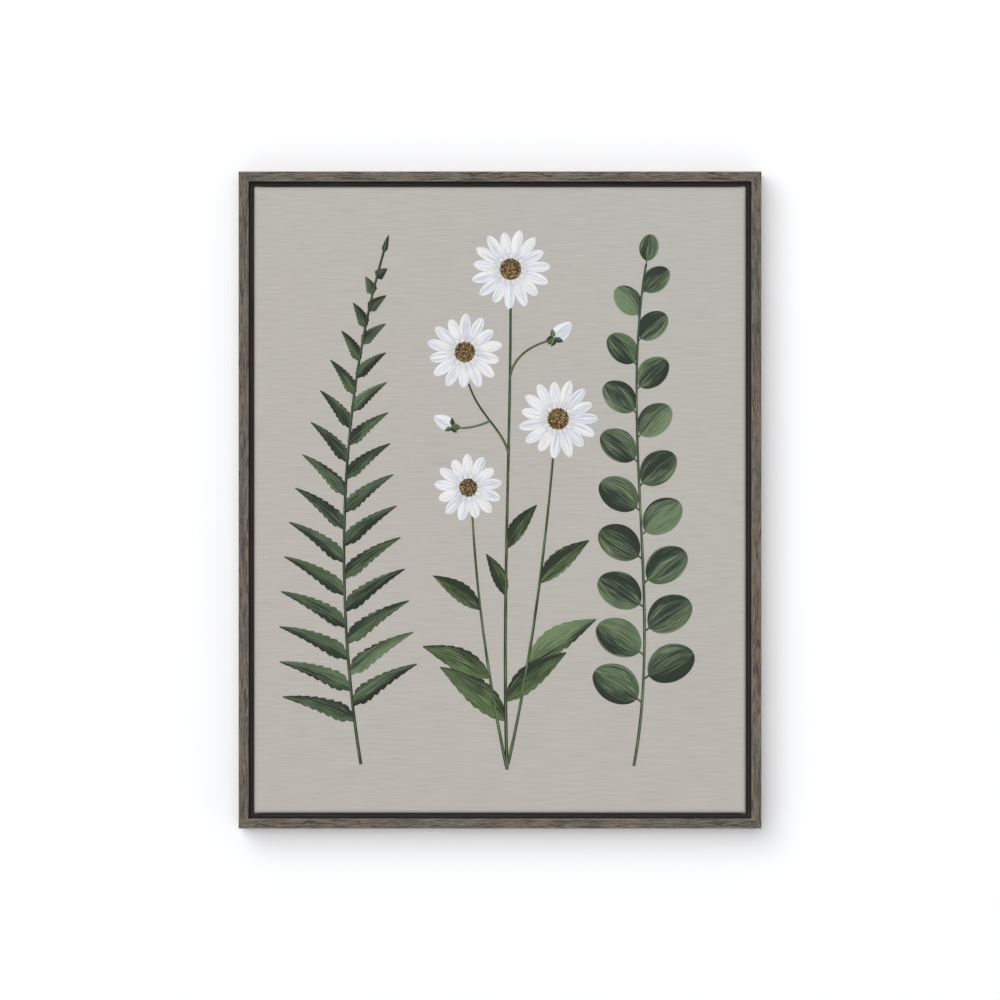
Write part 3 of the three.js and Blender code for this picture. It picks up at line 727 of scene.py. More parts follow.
class Skin:
    """Collects the points and faces of one mesh, with flat coordinates at each corner."""

    def __init__(self) -> None:
        """Starts empty."""
        self.points: list[Vector] = []
        self.facts: list[tuple[float, float, float]] = []
        self.faces: list[list[Corner]] = []
        self.slots: list[int] = []

    def row(
        self, points: Iterable[Vector], flats: Sequence[Point], closed: bool = False,
        facts: tuple[float, float, float] | None = None,
    ) -> list[Corner]:
        """Adds points.

        Args:
            points: the points.
            flats: their flat coordinates, with one more for a closed row's return.
            closed: whether the row comes back to its first point.
            facts: the reach, breadth and tone that the points carry, if they carry them.

        Returns:
            The corners of the row, for faces.
        """
        start = len(self.points)
        self.points.extend(points)
        count = len(self.points) - start
        self.facts.extend([facts] * count if facts else [])
        corners = [(start + k, flats[k]) for k in range(count)]
        return corners + [(start, flats[count])] if closed else corners

    def face(self, corners: Sequence[Corner], slot: int = 0) -> None:
        """Adds a face."""
        self.faces.append(list(corners))
        self.slots.append(slot)

    def join(self, rows: Sequence[Sequence[Corner]], slots: Sequence[int] | None = None) -> None:
        """Adds the faces between rows that follow each other.

        Args:
            rows: rows of equal length.
            slots: the material slot of each strip between two columns.
        """
        for one, two in zip(rows, rows[1:]):
            for k in range(len(one) - 1):
                self.face([one[k], one[k + 1], two[k + 1], two[k]], slots[k] if slots else 0)

    def tube(
        self, rows: Sequence[Sequence[Corner]], flats: Sequence[Point] | None = None,
        slots: Sequence[int] | None = None, end_slot: int = 0,
    ) -> None:
        """Adds the faces between closed rows, and those that close both ends.

        Args:
            rows: the rows.
            flats: the flat coordinates of the ends, where they have their own.
            slots: the material slot of each strip between two columns.
            end_slot: the ends' slot.
        """
        self.join(rows, slots)
        for row in (rows[0], rows[-1]):
            ends = zip(row[:-1], flats) if flats else ((corner, corner[1]) for corner in row[:-1])
            self.face([(number, flat) for (number, _), flat in ends], end_slot)

    def build(self, name: str, finishes: Sequence[Finish], sharp: float = 38.0) -> Piece:
        """Makes the object.

        Args:
            name: its name.
            finishes: its finishes, in the order of its material slots.
            sharp: the angle, in degrees, over which an edge is sharp.

        Returns:
            The object, with doubled points merged and faces outwards.
        """
        mesh = bpy.data.meshes.new(name)
        faces = [[number for number, _ in face] for face in self.faces]
        mesh.from_pydata([tuple(p) for p in self.points], [], faces)
        layer = mesh.uv_layers.new(name=SURFACE)
        layer.data.foreach_set("uv", [x for face in self.faces for _, flat in face for x in flat])
        mesh.polygons.foreach_set("material_index", self.slots)
        for k, fact in enumerate(FACTS if self.facts else ()):
            carried(mesh, fact, [facts[k] for facts in self.facts])
        work = bmesh.new()
        work.from_mesh(mesh)
        bmesh.ops.remove_doubles(work, verts=work.verts, dist=1e-6)
        bmesh.ops.recalc_face_normals(work, faces=work.faces)
        work.to_mesh(mesh)
        work.free()
        for finish in finishes:
            mesh.materials.append(finish.material())
        mesh.shade_smooth()
        mesh.set_sharp_from_angle(angle=radians(sharp))
        return shown(bpy.data.objects.new(name, mesh))


def carried(mesh: bpy.types.Mesh, name: str, values: Sequence[float]) -> None:
    """Gives a mesh's points a number each."""
    mesh.attributes.new(name, "FLOAT", "POINT").data.foreach_set("value", values)


def shown(thing: Piece) -> Piece:
    """Links an object to the scene."""
    bpy.context.scene.collection.objects.link(thing)
    return thing


def settled(thing: Piece) -> Piece:
    """Turns an object's modifiers into plain mesh.

    Args:
        thing: the object, which is left with no modifier.

    Returns:
        The same object.
    """
    graph = bpy.context.evaluated_depsgraph_get()
    made = bpy.data.meshes.new_from_object(
        thing.evaluated_get(graph), preserve_all_data_layers=True, depsgraph=graph,
    )
    made.name = thing.name
    thing.modifiers.clear()
    thing.data = made
    return thing


def thickened(thing: Piece, thickness: float) -> bpy.types.SolidifyModifier:
    """Gives an open sheet its thickness, on its inner side.

    Args:
        thing: the sheet.
        thickness: how thick it is.

    Returns:
        The modifier, for settings of its own.
    """
    thick = thing.modifiers.new("Thickness", "SOLIDIFY")
    thick.thickness, thick.offset, thick.use_even_offset = thickness, -1.0, True
    return thick


def delivered(piece: Piece, nodes: Sequence[str]) -> Piece:
    """Hands a finished piece over in place of its solids.

    Args:
        piece: the piece.
        nodes: the solids that it stands for.

    Returns:
        The piece.
    """
    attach(piece, BODY)
    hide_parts(*nodes)
    log.info("%s: %d faces, for %s", piece.name, len(piece.data.polygons), ", ".join(nodes))
    return piece


def numbered(name: str, count: int) -> list[str]:
    """Gives the names of numbered solids."""
    return [f"{name}_{k + 1}" for k in range(count)]


@dataclass(frozen=True)
class Turn:
    """A corner of a bar's profile, with its easing and the slot of the strip that leads to it."""

    inward: float
    y: float
    ease: float
    slot: int = 0


@dataclass(frozen=True)
class Profile:
    """A bar's closed profile of eased corners."""

    turns: tuple[Turn, ...]
    steps: int = 5

    def points(self) -> list[Point]:
        """Eases every corner by a short curve.

        Returns:
            The profile's points.
        """
        made = []
        for k, turn in enumerate(self.turns):
            here = Vector((turn.inward, turn.y))
            ends = []
            for near in (self.turns[k - 1], self.turns[(k + 1) % len(self.turns)]):
                away = Vector((near.inward, near.y)) - here
                ends.append(here + away.normalized() * turn.ease)
            for step in range(self.steps + 1):
                t = step / self.steps
                curve = ends[0] * (1 - t) ** 2 + here * 2 * t * (1 - t) + ends[1] * t ** 2
                made.append((curve.x, curve.y))
        return made

    def slots(self) -> list[int]:
        """Spreads the corners' slots over the points.

        Returns:
            The slot of the strip that follows each point.
        """
        slots = [turn.slot for turn in self.turns]
        pairs = zip(slots, slots[1:] + slots[:1])
        return [slot for one, two in pairs for slot in [one] * self.steps + [two]]

    def lengths(self) -> list[float]:
        """Measures the way round the profile.

        Returns:
            How far round each point is, and last the whole way.
        """
        points = self.points()
        total, made = 0.0, [0.0]
        for one, two in zip(points, points[1:] + points[:1]):
            total += dist(one, two)
            made.append(total)
        return made

    def length_at(self, turn: int) -> float:
        """Gives how far round the middle of a corner is."""
        return self.lengths()[turn * (self.steps + 1) + self.steps // 2]


def mitred_bar(
    name: str, side: Side, whole: Point, profile: Profile, gap: float,
    finishes: Sequence[Finish], spans: int = 12,
) -> Piece:
    """Makes one side of a rectangular frame, mitred at its ends.

    Args:
        name: the object's name.
        side: which side of the rectangle it is.
        whole: the rectangle's width and height.
        profile: the bar's profile.
        gap: the gap at a mitre.
        finishes: the bar's finishes.
        spans: how many lengths it is made of.

    Returns:
        The bar, whose flat coordinates run along it and round its profile.
    """
    points, lengths = profile.points(), profile.lengths()
    length = whole[0 if side.level else 1]
    shift = 1.7 * list(Side).index(side)  # gives each side its own stretch of grain
    skin, rows = Skin(), []
    for span in range(spans + 1):
        share = 2 * span / spans - 1
        alongs = [share * (length / 2 - inward - gap / sqrt(2)) for inward, _ in points]
        places = [side.place(whole, a, inward, y) for a, (inward, y) in zip(alongs, points)]
        flats = [(a + shift, v) for a, v in zip(alongs + alongs[:1], lengths)]
        rows.append(skin.row(places, flats, closed=True))
    skin.tube(rows, points, profile.slots(), profile.turns[0].slot)
    return skin.build(name, finishes)


def turned(name: str, profile: Sequence[Point], sides: int, finish: Finish) -> Piece:
    """Makes a body turned about the Y axis.

    Args:
        name: the object's name.
        profile: points of radius and y, from axis to axis.
        sides: how many sides it has.
        finish: its finish.

    Returns:
        The body.
    """
    skin, rows = Skin(), []
    angles = [2 * pi * n / sides for n in range(sides)]
    for k, (radius, y) in enumerate(profile):
        ring = [Vector((radius * cos(a), y, radius * sin(a))) for a in angles]
        flats = [(n / sides, k / len(profile)) for n in range(sides + 1)]
        rows.append(skin.row(ring, flats, closed=True))
    skin.join(rows)
    return skin.build(name, [finish])


# What repeats


@dataclass(frozen=True)
class Spot:
    """Where one of many like shapes goes, and how it is turned, stretched and bent."""

    place: Vector
    heading: float = 0.0
    reach: float = 1.0
    breadth: float = 1.0
    bend: float = 0.0


class Repeats:
    """The geometry trees that set out like shapes, and the calls that run them."""

    def __init__(self) -> None:
        """Builds both trees."""
        self.spread = self._tree("Spread", {
            "Shape": "Object", "Joined": "Object", "Height": "Float", "Seed": "Int",
            "Finish": "Material",
        })
        self._draw_spread()
        self.stipple = self._tree("Stipple", {
            "Shape": "Object", "Density": "Float", "Least": "Float", "Most": "Float",
            "Seed": "Int", "Finish": "Material",
        })
        self._draw_stipple()

    @staticmethod
    def _tree(name: str, inputs: dict[str, str]) -> bpy.types.NodeTree:
        """Starts a geometry tree.

        Args:
            name: its name.
            inputs: the kind of each input, by the input's name.

        Returns:
            The tree.
        """
        tree = bpy.data.node_groups.new(name, "GeometryNodeTree")
        tree.interface.new_socket(
            name="Geometry", in_out="OUTPUT", socket_type="NodeSocketGeometry",
        )
        for key, kind in {"Geometry": "Geometry", **inputs}.items():
            tree.interface.new_socket(name=key, in_out="INPUT", socket_type=f"NodeSocket{kind}")
        return tree

    def _draw_spread(self) -> None:
        """A shape on each point, turned, stretched and bent as the point says."""
        graph = Graph(self.spread)
        given = graph.node("NodeGroupInput", output="Geometry")

        def fact(name: str, kind: str = "FLOAT") -> Value:
            """Reads what the points carry."""
            return graph.node(
                "GeometryNodeInputNamedAttribute", {"data_type": kind}, {"Name": name},
            )

        heading, reach, breadth = fact("heading"), fact("reach"), fact("breadth")
        made = graph.node("GeometryNodeInstanceOnPoints", inputs={
            "Points": graph.toned(given, given.other("Seed")),
            "Instance": graph.shape(given.other("Shape")),
            "Rotation": graph.vector(0.0, -heading, 0.0),
            "Scale": graph.vector(reach, given.other("Height"), breadth),
        })
        made = graph.node("GeometryNodeRealizeInstances", inputs={0: made})
        at, _, _ = graph.split(fact(SURFACE, "FLOAT_VECTOR"))
        swing = reach * fact("bend") * at * (1.0 - at) * 2.0
        made = graph.node("GeometryNodeSetPosition", inputs={
            "Geometry": made,
            "Offset": graph.vector(-(heading.sine() * swing), 0.0, heading.cosine() * swing),
        })
        made = graph.node(
            "GeometryNodeJoinGeometry", inputs={0: [made, graph.shape(given.other("Joined"))]},
        )
        graph.done(made, given.other("Finish"))

    def _draw_stipple(self) -> None:
        """Dabs at random over the side of a mesh that faces the viewer."""
        graph = Graph(self.stipple)
        given = graph.node("NodeGroupInput", output="Geometry")
        _, facing, _ = graph.split(graph.node("GeometryNodeInputNormal"))
        seed = given.other("Seed")
        points = graph.node("GeometryNodeDistributePointsOnFaces", inputs={
            "Mesh": given, "Selection": facing.under(-0.2),
            "Density": given.other("Density"), "Seed": seed,
        })
        size = graph.chance(seed + 2.0, given.other("Least"), given.other("Most"))
        made = graph.node("GeometryNodeInstanceOnPoints", inputs={
            "Points": graph.toned(points, seed + 1.0),
            "Instance": graph.shape(given.other("Shape")),
            "Scale": graph.vector(size, size, size),
        })
        made = graph.node("GeometryNodeJoinGeometry", inputs={0: [made, given]})
        made = graph.node("GeometryNodeRealizeInstances", inputs={0: made})
        graph.done(made, given.other("Finish"))

    @staticmethod
    def _run(
        base: Piece, tree: bpy.types.NodeTree, settings: dict[str, object],
        spent: Sequence[Piece],
    ) -> Piece:
        """Runs a tree on an object and removes the shapes that it has used up.

        Args:
            base: the object.
            tree: the tree.
            settings: what goes into the tree's inputs, by their names.
            spent: the shapes.

        Returns:
            The object, as plain mesh.
        """
        modifier = base.modifiers.new(tree.name, "NODES")
        modifier.node_group = tree
        for item in tree.interface.items_tree:
            if item.name in settings and item.in_out == "INPUT":
                modifier[item.identifier] = settings[item.name]
        settled(base)
        for shape in spent:
            bpy.data.objects.remove(shape)
        return base

    def spread_out(
        self, name: str, spots: Sequence[Spot], shape: Piece, finish: Finish, slot: str,
        nodes: Sequence[str], seed: int, joined: Piece | None = None,
    ) -> Piece:
        """Sets a shape out on spots and delivers the piece.

        Args:
            name: the piece's name.
            spots: where the shapes go.
            shape: the shape, unit long and wide where the spots stretch it.
            finish: the piece's finish.
            slot: the record's material slot; not used.
            nodes: the solids that the piece stands for.
            seed: the seed of the shapes' tones.
            joined: a mesh that is joined to it.

        Returns:
            The piece, as plain mesh.
        """
        mesh = bpy.data.meshes.new(name)
        mesh.from_pydata([tuple(spot.place) for spot in spots], [], [])
        for key in ("heading", "reach", "breadth", "bend"):
            carried(mesh, key, [getattr(spot, key) for spot in spots])
        base = shown(bpy.data.objects.new(name, mesh))
        settings = {"Shape": shape, "Height": 1.0, "Seed": seed, "Finish": finish.material()}
        if joined:
            settings["Joined"] = joined
        spent = [shape, joined] if joined else [shape]
        return delivered(self._run(base, self.spread, settings, spent), nodes)

    def stippled(
        self, base: Piece, shape: Piece, finish: Finish,
        density: float, least: float, most: float, seed: int,
    ) -> Piece:
        """Covers the front of a mesh with dabs.

        Args:
            base: the mesh.
            shape: one dab, of unit size.
            finish: the piece's finish.
            density: dabs to a square metre.
            least: the smallest dab's size.
            most: the largest dab's size.
            seed: the seed of their places, sizes and tones.

        Returns:
            The piece, as plain mesh.
        """
        return self._run(base, self.stipple, {
            "Shape": shape, "Density": density, "Least": least, "Most": most,
            "Seed": seed, "Finish": finish.material(),
        }, [shape])


# The frame


@dataclass
class FloaterFrame:
    """Four L-shaped rails, mitred: a stained face, a black channel and a raw back."""

    ease: float = 0.9 * MM
    back_ease: float = 0.6 * MM
    mitre_gap: float = 0.06 * MM

    def profile(self) -> Profile:
        """Draws the rails' section.

        Returns:
            The profile, in slots 0 stained, 1 black and 2 raw.
        """
        face, ledge = SIZE.face, SIZE.face + SIZE.ledge_reach
        return Profile((
            Turn(0.0, SIZE.frame_back, self.back_ease, 2),
            Turn(0.0, SIZE.frame_front, self.ease, 0),
            Turn(face, SIZE.frame_front, self.ease, 0),
            Turn(face, SIZE.ledge_front, self.back_ease, 1),
            Turn(ledge, SIZE.ledge_front, self.back_ease, 1),
            Turn(ledge, SIZE.frame_back, self.back_ease, 2),
        ))

    def build(self) -> None:
        """Builds and delivers the four rails."""
        profile = self.profile()
        front_edges = (profile.length_at(1), profile.length_at(2))
        finishes = [
            StainedWood("Stained frame wood", front_edges), ChannelBlack("Channel black"),
            PlanedSoftwood("Raw back of the frame"),
        ]
        for side in Side:
            rail = mitred_bar(
                f"moulding_{side.value}", side, SIZE.outer, profile, self.mitre_gap, finishes,
            )
            delivered(rail, [f"frame_rail_{side.value}"])


@dataclass
class Stretcher:
    """Four mitred bars with a raised bead, and a brace across their middle."""

    width: float = 44.5 * MM
    inset: float = 1.25 * MM  # from the canvas's edge
    bead: float = 6 * MM
    step: float = 2.5 * MM
    slope: float = 2.5 * MM
    outer_ease: float = 3 * MM
    ease: float = 0.9 * MM
    mitre_gap: float = 0.1 * MM
    brace_width: float = 38 * MM
    brace_depth: float = 16 * MM
    brace_gap: float = 0.3 * MM

    def profile(self) -> Profile:
        """Draws the bars' section.

        Returns:
            The profile.
        """
        out, bead = self.inset, self.inset + self.bead
        front = SIZE.bar_front
        return Profile((
            Turn(out, SIZE.bar_back, self.ease),
            Turn(out, front, self.outer_ease),
            Turn(bead, front, self.ease),
            Turn(bead + self.step, front + self.step, self.ease),
            Turn(out + self.width, front + self.step + self.slope, self.ease),
            Turn(out + self.width, SIZE.bar_back, self.ease),
        ))

    def brace(self, finish: Finish) -> Piece:
        """Builds the brace.

        Args:
            finish: its finish.

        Returns:
            The brace, whose flat coordinates run along it and round it.
        """
        half = SIZE.canvas_width / 2 - self.inset - self.width - self.brace_gap
        middle = (SIZE.bar_back + SIZE.bar_front + self.step + self.slope) / 2
        deep, wide = self.brace_depth / 2, self.brace_width / 2
        corners = ((wide, deep), (wide, -deep), (-wide, -deep), (-wide, deep))
        profile = Profile(tuple(Turn(up, middle + y, self.ease) for up, y in corners))
        points, lengths = profile.points(), profile.lengths()
        skin, rows = Skin(), []
        for share in (-1.0, -0.5, 0.0, 0.5, 1.0):
            ring = [Vector((share * half, y, up + SIZE.centre_z)) for up, y in points]
            rows.append(skin.row(ring, [(share * half, v + 0.4) for v in lengths], closed=True))
        skin.tube(rows, points)
        return skin.build("cross_brace", [finish])

    def build(self) -> list[Piece]:
        """Builds and delivers the bars and the brace.

        Returns:
            The four bars.
        """
        finish = PlanedSoftwood("Planed softwood")
        bars = []
        for side in Side:
            bar = mitred_bar(
                f"bar_{side.value}", side, SIZE.canvas, self.profile(), self.mitre_gap, [finish],
            )
            bars.append(delivered(bar, [f"stretcher_bar_{side.value}"]))
        delivered(self.brace(finish), ["stretcher_brace"])
        return bars


# The canvas


@dataclass
class CanvasCloth:
    """Cloth stretched over the bars: front, rounded edges, sides and flaps on the back."""

    edge_radius: float = 4 * MM
    corner_radius: float = 1.4 * MM
    fold_radius: float = 1 * MM
    flap: float = 33 * MM
    flap_waver: float = 0.8 * MM
    crease: float = 0.2 * MM
    pleat: float = 22 * MM
    pleat_proud: float = 0.7 * MM
    pleat_ease: float = 0.35 * MM
    level_spans: int = 24
    upright_spans: int = 30
    corner_steps: int = 5
    edge_steps: int = 6
    fold_steps: int = 3
    front_insets: tuple[float, ...] = (0.2794, 0.23, 0.18, 0.13, 0.09, 0.055, 0.03, 0.014, 0.008)
    flap_insets: tuple[float, ...] = (6 * MM, 13 * MM, 20 * MM, 27 * MM)

    def ring(self, inset: float) -> tuple[list[Point], list[Point]]:
        """Gives a rounded rectangle inside the canvas's outline.

        Args:
            inset: how far inside it is.

        Returns:
            Its points from the picture's middle, clockwise, and the way out at each.
        """
        radius = max(self.corner_radius - inset, 0.0)
        x, up = SIZE.canvas_width / 2 - inset - radius, SIZE.canvas_height / 2 - inset - radius
        starts = ((-x, up), (x, up), (x, -up), (-x, -up))
        points, outs = [], []
        for k, (sx, sz) in enumerate(starts):
            cx, cz = starts[(k + 1) % 4]
            angle = 90.0 - 90.0 * k
            out = (cos(radians(angle)), sin(radians(angle)))
            spans = self.upright_spans if k % 2 else self.level_spans
            for share in (n / spans for n in range(spans)):
                points.append((
                    sx + (cx - sx) * share + out[0] * radius,
                    sz + (cz - sz) * share + out[1] * radius,
                ))
                outs.append(out)
            for n in range(self.corner_steps):
                turn = radians(angle - 90.0 * n / self.corner_steps)
                out = (cos(turn), sin(turn))
                points.append((cx + out[0] * radius, cz + out[1] * radius))
                outs.append(out)
        return points, outs

    def layers(self) -> list[tuple[float, float, float]]:
        """Gives the rings from the middle of the front to the flaps' cut edge.

        Returns:
            The inset, the depth and the length of cloth from the front's rim, for each ring.
        """
        front, edge, fold = SIZE.canvas_front, self.edge_radius, self.fold_radius
        made = [(inset, front, 0.0) for inset in self.front_insets]
        for k in range(self.edge_steps + 1):
            turn = pi / 2 * k / self.edge_steps
            made.append((
                edge * (1 - sin(turn)), front + edge * (1 - cos(turn)), edge * turn,
            ))
        length = edge * pi / 2
        last = SIZE.canvas_back - fold
        for share in (0.5, 1.0):
            run = (last - front - edge) * share
            made.append((0.0, front + edge + run, length + run))
        length += last - front - edge
        for k in range(1, self.fold_steps + 1):
            turn = pi / 2 * k / self.fold_steps
            made.append((
                fold * (1 - cos(turn)), last + fold * sin(turn), length + fold * turn,
            ))
        length += fold * pi / 2
        for inset in (*self.flap_insets, self.flap):
            made.append((inset, SIZE.canvas_back, length + inset - fold))
        return made

    def add_pleat(self, skin: Skin, right: int, up: int) -> None:
        """Adds the corner that is folded along a top or bottom edge.

        Args:
            skin: the mesh that it is added to.
            right: 1 for a right corner and -1 for a left one.
            up: 1 for an upper corner and -1 for a lower one.
        """
        corner = SIZE.canvas_width / 2 - self.corner_radius
        outline = (
            (corner, SIZE.canvas_back - self.fold_radius),
            (corner, SIZE.canvas_front + self.edge_radius),
            (corner - self.pleat, SIZE.canvas_back - self.fold_radius),
        )
        half = SIZE.canvas_height / 2
        proud = half + self.pleat_proud
        centre = Vector((corner - self.pleat / 3, sum(y for _, y in outline) / 3))
        flats = [(right * x, up * (half + y - SIZE.canvas_front)) for x, y in outline]
        rows = []
        for level in (half - SIZE.cloth / 2, half + self.pleat_proud * 0.7, proud):
            drawn = 0.0 if level < proud else self.pleat_ease
            ring = []
            for spot in map(Vector, outline):
                spot += (centre - spot).normalized() * drawn
                ring.append(Vector((right * spot.x, spot.y, up * level + SIZE.centre_z)))
            rows.append(skin.row(ring, flats + flats[:1], closed=True))
        skin.tube(rows)

    def build(self, bars: Sequence[Piece], staples: Piece) -> None:
        """Builds and delivers the cloth.

        Args:
            bars: the bars that it is stretched over; not used.
            staples: the staples that hold its flaps; not used.
        """
        base, _ = self.ring(self.edge_radius)
        skin, rows = Skin(), []
        layers = self.layers()
        flap_start, cut = len(layers) - len(self.flap_insets) - 1, len(layers) - 1
        wider = (SIZE.canvas_width - SIZE.canvas_height) / 2
        for number, (inset, y, run) in enumerate(layers):
            places, flats = [], []
            for (bx, bz), (x, up), out in zip(base, *self.ring(inset)):
                waver = noise.noise(Vector((x * 40, up * 40, 3.0))) if number == cut else 0.0
                waver *= self.flap_waver
                diagonal = abs(abs(x) - abs(up) - wider) < 0.1 * MM
                lift = self.crease if number >= flap_start and diagonal else 0.0
                places.append(Vector((
                    x + out[0] * waver, y + lift, up + out[1] * waver + SIZE.centre_z,
                )))
                flats.append((bx + out[0] * run, bz + out[1] * run) if run else (x, up))
            rows.append(skin.row(places, flats + flats[:1], closed=True))
        skin.join(rows)
        ground, raw = PaintedGround("Painted ground"), RawCotton("Raw cotton")
        cloth = skin.build("painted_canvas", [ground, raw], sharp=60.0)
        front = [f for f in cloth.data.polygons if abs(f.center.y - SIZE.canvas_front) < 0.1 * MM]
        if sum(f.normal.y * f.area for f in front) > 0:
            cloth.data.flip_normals()
        thick = thickened(cloth, SIZE.cloth)
        thick.material_offset = thick.material_offset_rim = 1
        settled(cloth)
        folds = Skin()
        for right, up in CORNERS:
            self.add_pleat(folds, right, up)
        merged(cloth, folds.build("folds", [ground]))
        delivered(cloth, ["canvas_sheet"])


def merged(whole: Piece, part: Piece) -> None:
    """Adds one object's mesh to another's, and removes the first.

    Args:
        whole: the object that grows.
        part: the object that goes.
    """
    work = bmesh.new()
    work.from_mesh(whole.data)
    work.from_mesh(part.data)
    work.to_mesh(whole.data)
    work.free()
    bpy.data.objects.remove(part)


# Fixings


def in_corner(whole: Point, corner: tuple[int, int], inward: float, y: float) -> Vector:
    """Gives a place near the corner of a rectangle round the picture's middle.

    Args:
        whole: the rectangle's width and height.
        corner: 1 or -1 for right or left, and for up or down.
        inward: how far from both sides the place is.
        y: its depth.

    Returns:
        The place.
    """
    x, up = (way * (length / 2 - inward) for way, length in zip(corner, whole))
    return Vector((x, y, up + SIZE.centre_z))


@dataclass(frozen=True)
class Staple:
    """A staple's sizes."""

    crown: float
    thick: float
    proud: float  # how far it stands behind the plane y = 0
    leg: float
    wire: float = 1.2 * MM  # its wire's width

    def shape(self, name: str, finish: Finish) -> Piece:
        """Builds the staple, with its crown along X and its legs towards the front.

        Args:
            name: the object's name.
            finish: its finish.

        Returns:
            The staple.
        """
        half, bend = self.crown / 2 - self.thick / 2, 1.1 * self.thick
        middle = self.proud - self.thick / 2
        path = [(-half, -self.leg), (-half, middle - bend)]
        for turn in (pi / 6, pi / 3, pi / 2):
            path.append((
                -half + bend * (1 - cos(turn)), middle - bend * (1 - sin(turn)),
            ))
        path += [(-x, y) for x, y in reversed(path)]
        eased = ((1, 0.75), (0.75, 1), (-0.75, 1), (-1, 0.75))
        section = [
            (way * a * self.thick / 2, way * b * self.wire / 2) for way in (1, -1) for a, b in eased
        ]
        skin, rows = Skin(), []
        for k, (x, y) in enumerate(path):
            before, after = path[max(k - 1, 0)], path[min(k + 1, len(path) - 1)]
            way = Vector((after[0] - before[0], after[1] - before[1])).normalized()
            ring = [Vector((x - way.y * a, y + way.x * a, b)) for a, b in section]
            rows.append(skin.row(ring, [(k / 10, n / 8) for n in range(9)], closed=True))
        skin.tube(rows)
        return skin.build(name, [finish])


